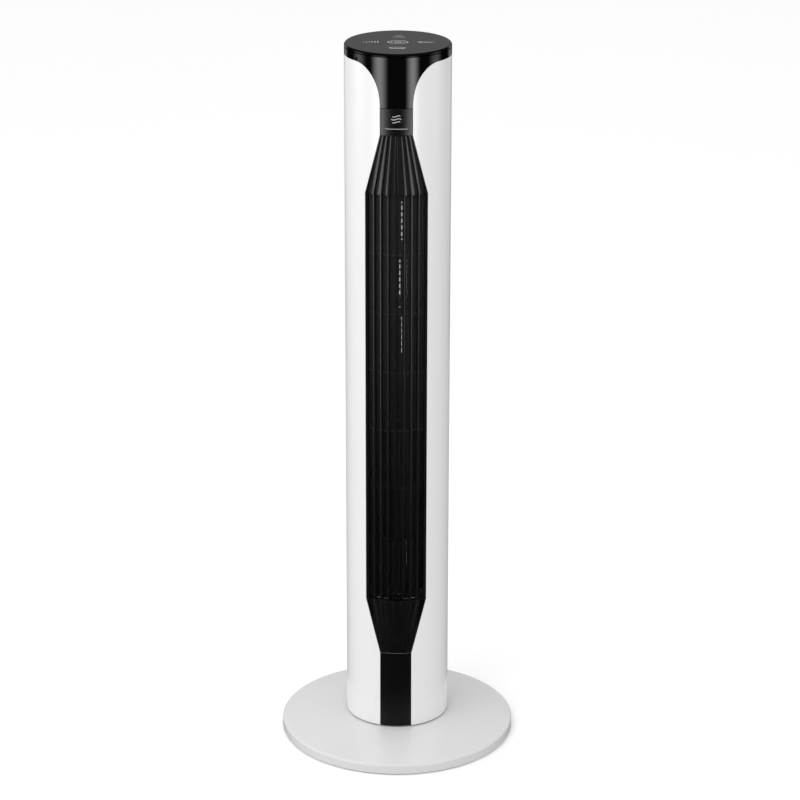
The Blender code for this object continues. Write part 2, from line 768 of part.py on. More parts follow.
def make_fan_motor(column):
    """Two pressed caps with the stator between them; the rotor belongs to the impeller."""
    top = MOTOR_BRACKET_TOP - PLATE - GAP
    joint_high = top - 0.018
    joint_low = joint_high - 0.018
    bottom = joint_low - 0.016
    bore = MOTOR_SHAFT_RADIUS + 0.0005
    thin = 0.002

    def cap_profile(flat, rim):
        inward = math.copysign(thin, rim - flat)
        chamfer = 2 * inward
        return [
            (bore, flat),
            (MOTOR_RADIUS - 0.004, flat),
            (MOTOR_RADIUS, flat + chamfer),
            (MOTOR_RADIUS, rim),
            (MOTOR_RADIUS - thin, rim),
            (MOTOR_RADIUS - thin, flat + chamfer + inward / 2),
            (MOTOR_RADIUS - 0.005, flat + inward),
            (bore, flat + inward),
        ]

    lower = turned_mesh("motor_lower_cap", cap_profile(bottom, joint_low), 24)
    add_object("motor_lower_cap", lower, steel(), column)
    upper = turned_mesh("motor_upper_cap", cap_profile(top, joint_high), 24)
    add_object("motor_upper_cap", upper, steel(), column)
    stator = tube_mesh("motor_stator", 0.0235, MOTOR_RADIUS, joint_low + GAP, joint_high - GAP, 24)
    add_object("motor_stator", stator, steel(), column)
    return bottom, joint_low, joint_high


def make_upper_bearing(column):
    """The flanged bush that the impeller's upper axle turns in."""
    bore = AXLE_RADIUS + GAP
    low = UPPER_BRACKET_BOTTOM - 0.0035
    flange = UPPER_BRACKET_BOTTOM - GAP
    high = UPPER_BRACKET_BOTTOM + 0.0065
    profile = [(bore, low), (0.013, low), (0.013, flange), (0.0099, flange), (0.0099, high), (bore, high)]
    add_object("upper_bearing", turned_mesh("upper_bearing", profile, 20), nylon(), column)


def make_oscillation_motor(column):
    """The small geared motor above the pinion, with its shaft."""
    low = GEAR_TOP + 0.0046
    high = low + 0.018
    radius = 0.0175
    shaft = 0.0025
    tip = GEAR_BOTTOM + 0.0005
    profile = [(0, tip), (shaft, tip), (shaft, low), (radius, low), (radius, high), (0, high)]
    mesh = turned_mesh("oscillation_motor", profile, 24)
    add_object("oscillation_motor", mesh, steel(), column, (0, PINION_DISTANCE, 0))


def make_power_board(column):
    """The mains board, upright below the fan motor, with its two largest parts on it."""
    sheet = box_mesh("power_board", (0.056, BOARD_THICKNESS, 0.052))
    board = add_object("power_board", sheet, circuit(), column, (0, 0.030, 0.098))
    parts = (
        ("capacitor", (0.022, 0.014, 0.018), (0.012, 0.0375, 0.106)),
        ("relay", (0.016, 0.012, 0.014), (-0.014, 0.0365, 0.088)),
    )
    for name, size, place in parts:
        block = add_object(name, box_mesh(name, size), circuit(), column, place)
        combine(board, [block], "UNION")


def make_loom(column):
    """The leads that climb the column beside the air duct."""
    upright = polar(LOOM_ANGLE, LOOM_CIRCLE, 0)
    route = [Vector((-0.024, 0.036, 0.120)), Vector((-0.034, 0.034, 0.134)), Vector((-0.043, 0.029, 0.150))]
    route += [upright + Vector((0, 0, z)) for z in steps(0.168, 0.872, 4)]
    route += [Vector((-0.043, 0.022, 0.886)), Vector((-0.034, 0.014, 0.895)), Vector((-0.026, 0.010, 0.900))]
    curve = bpy.data.curves.new("wiring_loom", "CURVE")
    curve.dimensions = "3D"
    curve.bevel_depth = LOOM_RADIUS
    curve.bevel_resolution = 2
    curve.use_fill_caps = True
    spline = curve.splines.new("POLY")
    spline.points.add(len(route) - 1)
    for point, place in zip(spline.points, route):
        point.co = (*place, 1)
    curve.materials.append(rubber())
    made = bpy.data.objects.new("wiring_loom", curve)
    bpy.context.scene.collection.objects.link(made)
    made.parent = column


# ---- the impeller ----


def make_impeller(impeller):
    """A stack of short bladed wheels, each turned a little from the one below it."""
    pitch = (IMPELLER_TOP - DISC - IMPELLER_BOTTOM) / SEGMENT_COUNT
    blade_angle = math.tau / BLADE_COUNT
    blade_share = BLADE_THICKNESS / BLADE_INNER_RADIUS
    bore = 0.0045
    across = []
    for index in range(BLADE_COUNT):
        across += [index * blade_angle, index * blade_angle + blade_share]

    def solid(angle, radius, z):
        return z < DISC or (radius > BLADE_INNER_RADIUS and angle % blade_angle < blade_share)

    def place(angle, radius, z):
        reach = max(radius - BLADE_INNER_RADIUS, 0) / (IMPELLER_RADIUS - BLADE_INNER_RADIUS)
        return polar(angle + reach * BLADE_LEAN, radius, z)

    mesh = lattice_mesh(
        "impeller_segment",
        across,
        [bore, BLADE_INNER_RADIUS, IMPELLER_RADIUS],
        [0, DISC, pitch - GAP],
        solid,
        place,
        ring=True,
    )
    for index in range(SEGMENT_COUNT):
        place_up = (0, 0, IMPELLER_BOTTOM + index * pitch)
        turn = (0, 0, index * blade_angle / 3)
        add_object(f"impeller_segment_{index + 1}", mesh, black_satin(), impeller, place_up, turn)
    top = IMPELLER_TOP
    axle_top = UPPER_BRACKET_BOTTOM + 0.008
    profile = [(0, top - DISC), (IMPELLER_RADIUS, top - DISC), (IMPELLER_RADIUS, top)]
    profile += [(AXLE_RADIUS, top), (AXLE_RADIUS, axle_top), (0, axle_top)]
    add_object("impeller_cap", turned_mesh("impeller_cap", profile, 24), black_satin(), impeller)


def make_rotor(impeller, motor):
    """The motor's rotor on its shaft, and the hub that carries the lowest wheel."""
    bottom, joint_low, joint_high = motor
    shaft = MOTOR_SHAFT_RADIUS
    core = 0.023
    core_low = joint_low + 0.001
    core_high = joint_high - 0.001
    top = IMPELLER_BOTTOM - GAP
    profile = [(0, bottom - 0.004), (shaft, bottom - 0.004), (shaft, core_low), (core, core_low)]
    profile += [(core, core_high), (shaft, core_high), (shaft, top - 0.001), (0, top - 0.001)]
    add_object("motor_rotor", turned_mesh("motor_rotor", profile, 20), steel(), impeller)
    bore = shaft + GAP
    low = MOTOR_BRACKET_TOP - PLATE + 0.0006
    flange = top - 0.004
    profile = [(bore, low), (0.0125, low), (0.0125, flange), (0.020, flange), (0.020, top), (bore, top)]
    add_object("impeller_hub", turned_mesh("impeller_hub", profile, 20), nylon(), impeller)


def make_pinion(pinion):
    mesh = gear_mesh("drive_pinion", PINION_TEETH, 0.0028)
    add_object("drive_pinion", mesh, nylon(), pinion)


def make_fan():
    clear_scene()
    base = add_empty("base_origin")
    column = add_empty("column_axis", parent=base)
    impeller = add_empty("impeller_axis", parent=column)
    pinion = add_empty("pinion_axis", (0, PINION_DISTANCE, 0), column)

    make_base_cover(base)
    make_cord_gland(base)
    weight_top = make_base_inside(base)
    make_feet(base)
    make_post(base, weight_top)
    make_fixed_gear(base)

    make_front_shell(column)
    rear_shell = make_rear_shell(column)
    make_rear_grille(column)
    make_front_grille(column)
    make_inlay("lower_strip", COLUMN_BOTTOM, STRIP_TOP - GAP / 2, black_gloss(), column)
    make_inlay("badge_plate", BADGE_BOTTOM + GAP / 2, BADGE_TOP - GAP / 2, black_satin(), column)
    make_head(column)
    make_control_top(column)
    floor = make_column_floor(column)
    upper = make_brackets(column)
    make_shell_screws(column, rear_shell, floor, upper)
    make_duct(column)
    motor = make_fan_motor(column)
    make_upper_bearing(column)
    make_oscillation_motor(column)
    make_power_board(column)
    make_loom(column)

    make_impeller(impeller)
    make_rotor(impeller, motor)
    make_pinion(pinion)


make_fan()
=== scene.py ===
"""Looks of the tower fan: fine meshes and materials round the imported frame, a floor, soft light, a camera."""

import math

import bmesh
import bpy
from mathutils import Euler, Matrix, Vector


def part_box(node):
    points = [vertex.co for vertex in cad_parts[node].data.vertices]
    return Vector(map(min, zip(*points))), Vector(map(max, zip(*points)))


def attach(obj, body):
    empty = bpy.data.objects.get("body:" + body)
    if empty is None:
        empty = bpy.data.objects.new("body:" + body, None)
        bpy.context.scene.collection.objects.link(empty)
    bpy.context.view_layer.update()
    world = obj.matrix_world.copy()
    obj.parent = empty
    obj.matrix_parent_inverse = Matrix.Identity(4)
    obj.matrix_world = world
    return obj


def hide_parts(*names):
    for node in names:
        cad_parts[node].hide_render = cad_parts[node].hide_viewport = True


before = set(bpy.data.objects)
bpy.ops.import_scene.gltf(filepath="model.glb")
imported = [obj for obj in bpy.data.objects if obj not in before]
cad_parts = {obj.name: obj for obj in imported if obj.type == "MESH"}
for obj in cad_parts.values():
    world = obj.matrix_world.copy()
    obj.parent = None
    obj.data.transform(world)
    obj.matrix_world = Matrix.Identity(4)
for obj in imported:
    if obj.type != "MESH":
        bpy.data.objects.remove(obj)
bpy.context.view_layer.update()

# ---- sizes, in metres, from the frame where it gives them ----

GAP = 0.0003
WALL = 0.0025
PANEL_LOW, PANEL_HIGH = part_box("control_panel")
STRIP_LOW, STRIP_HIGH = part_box("lower_strip")
GRILLE_LOW, GRILLE_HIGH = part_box("front_grille")
BADGE_LOW, BADGE_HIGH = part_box("badge_plate")
HEAD_LOW, HEAD_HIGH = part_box("head_housing")
INTAKE_LOW, INTAKE_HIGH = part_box("rear_grille")
COVER_LOW, COVER_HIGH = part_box("base_cover")
SHELL_LOW, SHELL_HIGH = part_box("front_shell")

COLUMN_RADIUS = PANEL_HIGH.x
NECK_HALF_WIDTH = STRIP_HIGH.x
GRILLE_HALF_WIDTH = GRILLE_HIGH.x
COLUMN_BOTTOM = SHELL_LOW.z
STRIP_TOP = (STRIP_HIGH.z + GRILLE_LOW.z) / 2
BADGE_BOTTOM = (GRILLE_HIGH.z + BADGE_LOW.z) / 2
BADGE_TOP = (BADGE_HIGH.z + HEAD_LOW.z) / 2
SHELL_TOP = SHELL_HIGH.z + GAP
LOWER_TAPER_TOP = 0.2025
UPPER_TAPER_BOTTOM = 0.7397
FLARE_BOTTOM = 0.850
FLARE_END_ANGLE = math.radians(50)
FLARE_POWER = 2.1

WEB_THICKNESS = 0.00095
STRIP_SEAM = 0.0005
DECK_HOLE = 0.045
FINE_EDGE = 0.00025
SOFT_EDGE = 0.00035
SHARP_ANGLE = 35
SOFT_ANGLE = 50

# The grille: its ribs, and the bars and grooves of its tapers. A groove gets deeper from the neck to the
# open grille, between the two depths given. A face is matte where all of it lies below the first of the
# matte depths or some of it lies below the second.
GRILLE_BACK = 0.0615
FRAME_SHARE = 0.030
RIB_COUNT = 7
RIB_PITCH = math.radians(8.5)
RIB_HALF_WIDTH = 0.0008
RIB_CROWN = 0.0046
RIB_TIP_DEPTH = 0.0002
RIB_ROOT = GRILLE_BACK - 0.0020
RIB_ROOT_FLARE = 0.00015
RIB_OVERLAP = 0.001
BAR_SHARE = 0.58
BAR_SPREAD = 1.08
BAR_EDGE = 0.00035
LOWER_GROOVE = (0.00012, 0.00055)
UPPER_GROOVE = (0.0018, 0.0036)
MATTE_DEPTHS = (0.0007, 0.0040)

# The inner screen: a wire's and a band's height at the bottom of the grille and at the top. The growth towards
# the top is painted light: the grey screen reads brighter high up and darker low down, and its bands paint
# faint level lines of light.
SCREEN_RADII = (GRILLE_BACK - 0.0030, GRILLE_BACK - 0.0025)
SCREEN_MARGIN = 0.002
SCREEN_PITCH = 0.00104
SCREEN_WIRE = (0.00003, 0.00056)
SCREEN_BAYS = 7
SCREEN_BAND = (0.0004, 0.0018)
SCREEN_PAINTED_LIGHT_GROWTH = 1.5
SILL_CENTRE = (0.0572, LOWER_TAPER_TOP + 0.0016)
SILL_RADIUS = 0.0034
SILL_REACH = math.radians(29)

# The intake at the rear: depths lie below the grille's face, the deeper one first.
SLATS = 61
SLAT_HALF_HEIGHT = 0.0014
SLAT_DEPTHS = (0.0024, 0.0002)
SLAT_LEAN = 0.0014
SLAT_EDGE = 0.0003
POST_PLACES = (-2.25, -0.75, 0.75, 2.25)
POST_HALF_WIDTH = 0.0011
POST_DEPTHS = (0.0042, 0.0001)
INTAKE_DEPTH = 0.0030
INTAKE_BORDER = 0.005
INTAKE_SIDE_BORDER = 0.004

# The rear shell's screws: each pair of levels is the strip of wall that a row of wells is cut from.
LOWER_WELLS = (0.031, 0.046)
UPPER_WELLS = (0.742, 0.757)
WELL_FLOOR = 0.0625
WELL_RADIUS = 0.0034
WELL_OUTSIDE = 0.07
SCREW_TIP = 0.0585
SCREW_SEAT = COLUMN_RADIUS - 0.0021
SCREW_FACE = COLUMN_RADIUS - 0.0007
SCREW_POINT_RADIUS = 0.0011
SCREW_SHANK_RADIUS = 0.0015
SCREW_HEAD_RADIUS = 0.0030
SCREW_HEAD_SIDE = 0.0006
RECESS_LENGTH = 0.0030
RECESS_WIDTH = 0.0006
RECESS_HEIGHT = 0.0016

PANEL_ROUND = 0.0028
PANEL_UNDERCUT = 0.0012
PANEL_LOW_EDGE = 0.0005
PANEL_GLOSS_INSET = 0.0004
PANEL_BORDER = 0.004
PANEL_FLAT_RADIUS = 0.030
PRINT_ANGLE = 60
INK_LIFTS = (-0.00002, 0.00003)
BADGE_STREAM_REACH = 0.0062
BADGE_STREAM_PITCH = 0.0036
BADGE_STREAM_WAVE = 0.0008

BASE_RADIUS = COVER_HIGH.x
BASE_CREST = COVER_HIGH.z
BASE_UNDERSIDE = COVER_LOW.z
BASE_RIM_TOP = 0.0147
BASE_FLAT_RADIUS = 0.052
BASE_EDGE_ROUND = 0.0034
BASE_DOME_POWER = 1.5
BASE_DOME_STEPS = 22
BASE_RIM_STEPS = 7
BASE_RIM_BLEND = 0.0012
BASE_INNER_SHIFT = 0.001
BASE_HOLE_RADIUS = 0.022
BASE_CHAMFER = 0.0004
GLAND_WALL = 0.0014
GLAND_EDGE = 0.0004
GLAND_CUT_REACH = 0.010
FOOT_HOLLOW_DEPTH = 0.0004
FOOT_HOLLOW_SHARE = 0.5
FOOT_EDGE = (0.0008, 0.0006)

BLADE_COUNT = 28
BLADE_SWEEP = math.radians(9.5)
BLADE_CURVE = 1.6
BLADE_WIDTH = 0.0095
BLADE_HALF_THICKNESS = 0.0007
BLADE_TAPER = 0.55
BLADE_UNEVENNESS = 0.28
BLADE_RHYTHM = 2.4
BLADE_RHYTHM_START = 1.5
BLADE_SINK = 0.0001
BLADE_TIP_INSET = 0.0003
WHEEL_BORE = 0.0045
WHEEL_DISC = 0.0016
WHEEL_CHAMFER = 0.0004
WHEEL_TURNS = (112, 80, 102, 134, 12.7, 176.4, 12.0)

# ---- the camera, at the viewing angle of the photograph ----

CAMERA_DISTANCE = 3.456
CAMERA_HEIGHT = 1.718
CAMERA_AZIMUTH = math.radians(1.65)
CAMERA_PITCH = math.radians(20.11)
CAMERA_ROLL = 0.0016
CAMERA_ASIDE = 0.0031
CAMERA_LENS = 130.94

# ---- the light ----

SKY_LEVEL = 0.86
SKY_SLOPE = Vector((-0.04, -0.12, 0.20))
KEY_LEVEL = 2.2
KEY_PLACE = (-0.75, -1.2, 2.1)
KEY_SIZE = 1.3
FILL_LEVEL = 1.1
FILL_PLACE = (-2.5, 0.1, 1.1)
FILL_SIZE = 1.5
LIGHT_TARGET = Vector((0, 0, 0.6))
FLOOR_REACH = 40

# Each card: name, azimuth in degrees, distance, lowest and highest edge, width, level, and the height at
# which it has come up to that level.
CARDS = (
    ("left_card", -38, 2.0, -0.32, 0.6, 1.5, 4.7, 0.30),
    ("right_card", 33, 2.0, -0.32, 0.6, 1.2, 4.6, 0.30),
    ("left_side_card", -88, 2.0, 0.20, 1.4, 1.5, 1.5, 0.42),
    ("right_side_card", 88, 2.0, 0.20, 1.4, 1.5, 1.2, 0.42),
    ("back_card", 180, 4.0, -2.8, 3.0, 9.0, 0.31, -1.2),
    ("left_rim_card", -146, 2.4, -0.3, 1.6, 1.4, 0.55, 0.3),
    ("right_rim_card", 146, 2.4, -0.3, 1.6, 1.4, 0.55, 0.3),
)


def steps(first, last, count):
    return [first + (last - first) * index / count for index in range(count + 1)]


def polar(angle, radius, z):
    """A point round the column. The angle counts from the front, positive towards +X."""
    return Vector((radius * math.sin(angle), -radius * math.cos(angle), z))


def blend_between(first, last, share):
    return first + (last - first) * share


# ---- materials ----

# How much of a finish's change in gloss comes from its fine noise; the rest comes from the slow one.
FINE_SHARE = 0.35


def link(tree, source, output, target, socket):
    tree.links.new(source.outputs[output], target.inputs[socket])


def add_math(tree, operation, number=0.5):
    """A math node, with the number on its second input."""
    made = tree.nodes.new("ShaderNodeMath")
    made.operation = operation
    made.inputs[1].default_value = number
    return made


def add_noise(tree, place, scale, detail):
    noise = tree.nodes.new("ShaderNodeTexNoise")
    noise.inputs["Scale"].default_value = scale
    noise.inputs["Detail"].default_value = detail
    tree.links.new(place, noise.inputs["Vector"])
    return noise


def moulded(
    name, dark, light, roughness, cloud, grain, metallic=0.0, specular=0.5, relief=0.00002, stretch=(1, 1, 1)
):
    """A finish whose colour and gloss drift slowly, with a fine relief.

    The cloud is the scale of the slow noise, and the grain is the scale of the fine noise.
    """
    made = bpy.data.materials.new(name)
    made.use_nodes = True
    tree = made.node_tree
    shader = tree.nodes["Principled BSDF"]
    shader.inputs["Metallic"].default_value = metallic
    shader.inputs["Specular IOR Level"].default_value = specular
    where = tree.nodes.new("ShaderNodeTexCoord")
    spread = tree.nodes.new("ShaderNodeMapping")
    spread.inputs["Scale"].default_value = stretch
    link(tree, where, "Object", spread, "Vector")
    slow = add_noise(tree, spread.outputs["Vector"], cloud, 4)
    fine = add_noise(tree, spread.outputs["Vector"], grain, 3)
    colours = tree.nodes.new("ShaderNodeMix")
    colours.data_type = "RGBA"
    colours.inputs["A"].default_value = (*dark, 1)
    colours.inputs["B"].default_value = (*light, 1)
    link(tree, slow, "Fac", colours, "Factor")
    tree.links.new(colours.outputs["Result"], shader.inputs["Base Color"])
    gloss = tree.nodes.new("ShaderNodeMapRange")
    gloss.inputs["To Min"].default_value = roughness[0]
    gloss.inputs["To Max"].default_value = roughness[1]
    slow_part = add_math(tree, "MULTIPLY", 1 - FINE_SHARE)
    link(tree, slow, "Fac", slow_part, 0)
    both = add_math(tree, "MULTIPLY_ADD", FINE_SHARE)
    link(tree, fine, "Fac", both, 0)
    link(tree, slow_part, "Value", both, 2)
    link(tree, both, "Value", gloss, "Value")
    link(tree, gloss, "Result", shader, "Roughness")
    bump = tree.nodes.new("ShaderNodeBump")
    bump.inputs["Distance"].default_value = relief
    bump.inputs["Strength"].default_value = 0.6
    link(tree, fine, "Fac", bump, "Height")
    link(tree, bump, "Normal", shader, "Normal")
    return made


def grey(value, tint=0.0):
    return (value, value * (1 + tint / 2), value * (1 + tint))


WHITE = moulded("white_gloss_plastic", grey(0.80), grey(0.83), (0.16, 0.24), 7, 500)
BASE_WHITE = moulded("white_base_plastic", grey(0.67), grey(0.70), (0.20, 0.30), 7, 600)
PIANO_BLACK = moulded(
    "black_gloss_plastic", grey(0.0027), grey(0.0034), (0.05, 0.09), 11, 260, relief=0.000004
)
TOUCH_BLACK = moulded("black_touch_panel", grey(0.018), grey(0.021), (0.26, 0.33), 12, 1500, relief=0.00001)
GRILLE_BLACK = moulded(
    "black_satin_plastic", grey(0.0020, 0.06), grey(0.0028, 0.06), (0.26, 0.33), 14, 1400, specular=0.75
)
STRIP_BLACK = moulded(
    "black_strip_plastic", grey(0.0022), grey(0.0028), (0.30, 0.40), 14, 1400, specular=0.18
)
MATTE_BLACK = moulded("black_matte_plastic", grey(0.012), grey(0.015), (0.5, 0.65), 20, 1200, specular=0.25)
DUCT_BLACK = moulded("black_duct_plastic", grey(0.004), grey(0.007), (0.45, 0.6), 20, 1200)
# The inner screen's grey: with the screen's graded wires it paints the light seen between the ribs.
SCREEN_BLACK = moulded("black_screen_wire", grey(0.036), grey(0.042), (0.6, 0.75), 20, 1200, specular=0.25)
IMPELLER_BLACK = moulded(
    "black_impeller_plastic", grey(0.004), grey(0.006), (0.45, 0.55), 25, 900, specular=0.25
)
GREY_PLASTIC = moulded("grey_moulded_plastic", grey(0.10), grey(0.13), (0.42, 0.55), 25, 1100)
STEEL = moulded(
    "zinc_plated_steel", grey(0.50), grey(0.62), (0.28, 0.42), 60, 1800, metallic=1.0, stretch=(1, 1, 0.15)
)
RUBBER = moulded("black_rubber", grey(0.016), grey(0.024), (0.7, 0.85), 60, 2200, relief=0.00006)
NYLON = moulded("natural_nylon", (0.70, 0.68, 0.60), (0.76, 0.74, 0.67), (0.4, 0.5), 30, 900)
CIRCUIT = moulded("circuit_board", (0.01, 0.09, 0.04), (0.03, 0.17, 0.08), (0.3, 0.5), 260, 1400)
COPPER = moulded(
    "copper_winding", (0.52, 0.22, 0.10), (0.66, 0.30, 0.14), (0.3, 0.42), 200, 2500, metallic=1.0
)
INK = moulded("grey_print", grey(0.74), grey(0.80), (0.4, 0.5), 80, 2500)
BADGE_INK = moulded("light_print", grey(0.42), grey(0.50), (0.35, 0.45), 80, 2500)
FLOOR_FINISH = moulded("pale_floor", grey(0.98), grey(1.0), (0.8, 0.9), 0.6, 40, specular=0.1)

# ---- mesh tools ----


def mesh_from(name, shape):
    bmesh.ops.recalc_face_normals(shape, faces=shape.faces)
    mesh = bpy.data.meshes.new(name)
    shape.to_mesh(mesh)
    shape.free()
    return mesh


def add_lattice(shape, across, depths, heights, solid, place, ring=False):
    """Adds the closed skin of a grid's solid cells; place(u, depth, height) gives a corner's position."""
    corners = {}
    columns = len(across) if ring else len(across) - 1

    def middle(values, index):
        if index == len(values) - 1:
            return values[index] + 0.5 * (values[1] - values[0])
        return 0.5 * (values[index] + values[index + 1])

    filled = {
        (i, j, k)
        for i in range(columns)
        for j in range(len(depths) - 1)
        for k in range(len(heights) - 1)
        if solid(middle(across, i), middle(depths, j), middle(heights, k))
    }

    def corner(i, j, k):
        key = (i % len(across), j, k)
        if key not in corners:
            corners[key] = shape.verts.new(place(across[key[0]], depths[j], heights[k]))
        return corners[key]

    sides = (
        ((-1, 0, 0), ((0, 0, 0), (0, 0, 1), (0, 1, 1), (0, 1, 0))),
        ((1, 0, 0), ((1, 0, 0), (1, 1, 0), (1, 1, 1), (1, 0, 1))),
        ((0, -1, 0), ((0, 0, 0), (1, 0, 0), (1, 0, 1), (0, 0, 1))),
        ((0, 1, 0), ((0, 1, 0), (0, 1, 1), (1, 1, 1), (1, 1, 0))),
        ((0, 0, -1), ((0, 0, 0), (0, 1, 0), (1, 1, 0), (1, 0, 0))),
        ((0, 0, 1), ((0, 0, 1), (1, 0, 1), (1, 1, 1), (0, 1, 1))),
    )
    for i, j, k in sorted(filled):
        for step, quad in sides:
            side = i + step[0]
            beside = (side % columns if ring else side, j + step[1], k + step[2])
            if beside not in filled:
                shape.faces.new([corner(i + a, j + b, k + c) for a, b, c in quad])


def lattice(name, *grid, ring=False):
    shape = bmesh.new()
    add_lattice(shape, *grid, ring=ring)
    return mesh_from(name, shape)


def everywhere(u, depth, height):
    """Every cell is solid."""
    return True


def add_turned(shape, profile, segments, centre=(0, 0)):
    """Adds a closed outline of (radius, z) points turned round an upright axis."""
    rings = []
    for radius, z in profile:
        if radius == 0:
            rings.append([shape.verts.new((*centre, z))])
            continue
        turns = [math.tau * index / segments for index in range(segments)]
        points = [(centre[0] + radius * math.cos(a), centre[1] + radius * math.sin(a), z) for a in turns]
        rings.append([shape.verts.new(point) for point in points])
    for ring, following in zip(rings, rings[1:] + rings[:1]):
        if len(ring) == 1 and len(following) == 1:
            continue
        for index in range(segments):
            after = (index + 1) % segments
            if len(ring) == 1:
                corners = (ring[0], following[after], following[index])
            elif len(following) == 1:
                corners = (ring[index], ring[after], following[0])
            else:
                corners = (ring[index], ring[after], following[after], following[index])
            shape.faces.new(corners)


def add_swept(shape, rows):
    """Adds the skin through rows of points, each a closed outline, with both ends capped."""
    loops = [[shape.verts.new(point) for point in row] for row in rows]
    for first, following in zip(loops, loops[1:]):
        for index in range(len(first)):
            after = (index + 1) % len(first)
            shape.faces.new((first[index], first[after], following[after], following[index]))
    shape.faces.new(loops[0][::-1])
    shape.faces.new(loops[-1])


def turned(name, profile, segments):
    shape = bmesh.new()
    add_turned(shape, profile, segments)
    return mesh_from(name, shape)


def arc(centre, radius, first, last, count):
    """Points on a round stretch, from one angle to another in degrees."""
    return [
        (centre[0] + radius * math.cos(math.radians(a)), centre[1] + radius * math.sin(math.radians(a)))
        for a in steps(first, last, count)
    ]


def show(name, mesh, finish, crease=SHARP_ANGLE):
    """Puts a mesh in the scene, smooth but for its real edges."""
    made = bpy.data.objects.new(name, mesh)
    bpy.context.scene.collection.objects.link(made)
    mesh.materials.append(finish)
    mesh.shade_smooth()
    mesh.set_sharp_from_angle(angle=math.radians(crease))
    return made


def round_edges(made, width, count=2):
    bevel = made.modifiers.new("edges", "BEVEL")
    bevel.width = width
    bevel.segments = count
    bevel.limit_method = "ANGLE"
    bevel.angle_limit = math.radians(40)
    bevel.harden_normals = True


def cut_away(made, cutter):
    """Cuts a helper out of a piece for good, and removes the helper."""
    modifier = made.modifiers.new("cut", "BOOLEAN")
    modifier.operation = "DIFFERENCE"
    modifier.object = cutter
    bpy.context.view_layer.update()
    graph = bpy.context.evaluated_depsgraph_get()
    result = bpy.data.meshes.new_from_object(made.evaluated_get(graph))
    made.modifiers.remove(modifier)
    old = made.data
    made.data = result
    bpy.data.meshes.remove(old)
    bpy.data.objects.remove(cutter)
    made.data.set_sharp_from_angle(angle=math.radians(SHARP_ANGLE))


def fit(made, body, slot, *stands_for):
    """The piece rides on a body and stands for its CAD nodes. The slot is not used."""
    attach(made, body)
    if stands_for:
        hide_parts(*stands_for)


# ---- the black front's outline ----


def front_half_width(z):
    if z <= STRIP_TOP or z >= BADGE_BOTTOM:
        return NECK_HALF_WIDTH
    if z < LOWER_TAPER_TOP:
        share = (z - STRIP_TOP) / (LOWER_TAPER_TOP - STRIP_TOP)
    elif z <= UPPER_TAPER_BOTTOM:
        share = 1
    else:
        share = (BADGE_BOTTOM - z) / (BADGE_BOTTOM - UPPER_TAPER_BOTTOM)
    return blend_between(NECK_HALF_WIDTH, GRILLE_HALF_WIDTH, share)


def front_angle(z):
    return math.asin(front_half_width(z) / COLUMN_RADIUS)


def edge_point(level):
    """Angle and height of the black front's edge at a level; in the flare, levels run evenly along it."""
    if level <= FLARE_BOTTOM:
        return front_angle(level), level
    rise = min((level - FLARE_BOTTOM) / (SHELL_TOP - FLARE_BOTTOM), 1)
    turn = rise * math.pi / 2
    start = front_angle(FLARE_BOTTOM)
    angle = FLARE_END_ANGLE - (FLARE_END_ANGLE - start) * max(math.cos(turn), 0) ** (2 / FLARE_POWER)
    height = FLARE_BOTTOM + (SHELL_TOP - FLARE_BOTTOM) * math.sin(turn) ** (2 / FLARE_POWER)
    return angle, height


FLARE_LEVELS = steps(FLARE_BOTTOM, SHELL_TOP, 24)
LOWER_TAPER = steps(STRIP_TOP + GAP / 2, LOWER_TAPER_TOP, 14)
UPPER_TAPER = steps(UPPER_TAPER_BOTTOM, BADGE_BOTTOM - GAP / 2, 14)


# ---- the column's shells ----


def make_front_shell():
    inner = COLUMN_RADIUS - WALL
    web = inner + WEB_THICKNESS
    seam = math.radians(90) - GAP / 2 / COLUMN_RADIUS
    side = steps(1, 2, 34)
    across = [-u for u in side[::-1]] + steps(-1, 1, 10)[1:-1] + side
    levels = [COLUMN_BOTTOM, STRIP_TOP - GAP / 2] + LOWER_TAPER[1:] + UPPER_TAPER[:-1]
    levels += [BADGE_BOTTOM + GAP / 2, BADGE_TOP - GAP / 2] + FLARE_LEVELS

    def solid(u, radius, level):
        behind = level < STRIP_TOP or BADGE_BOTTOM < level < BADGE_TOP
        return abs(u) > 1 or (behind and radius < web)

    def place(u, radius, level):
        edge, height = edge_point(level)
        edge += GAP / COLUMN_RADIUS
        size = abs(u)
        share = max(size - 1, 0)
        angle = size * edge if size <= 1 else blend_between(edge, seam, share)
        drop = GAP if level > BADGE_TOP else 0
        return polar(math.copysign(angle, u), radius, blend_between(height, level, share) - drop)

    mesh = lattice("front_shell_skin", across, [inner, web, COLUMN_RADIUS], levels, solid, place)
    made = show("front_shell_skin", mesh, WHITE)
    round_edges(made, FINE_EDGE)
    fit(made, "column", "white_gloss", "front_shell")


def screw_places():
    """Each rear screw's number, its angle round the column and its height."""
    for number in range(1, 5):
        low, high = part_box(f"shell_screw_{number}")
        middle = (low + high) / 2
        yield number, math.atan2(middle.x, -middle.y), middle.z


def radial_matrix(angle, z):
    """Turns +Z outwards along a radius of the column, at a height."""
    return Matrix.Translation((0, 0, z)) @ Euler((0, math.pi / 2, angle - math.pi / 2)).to_matrix().to_4x4()


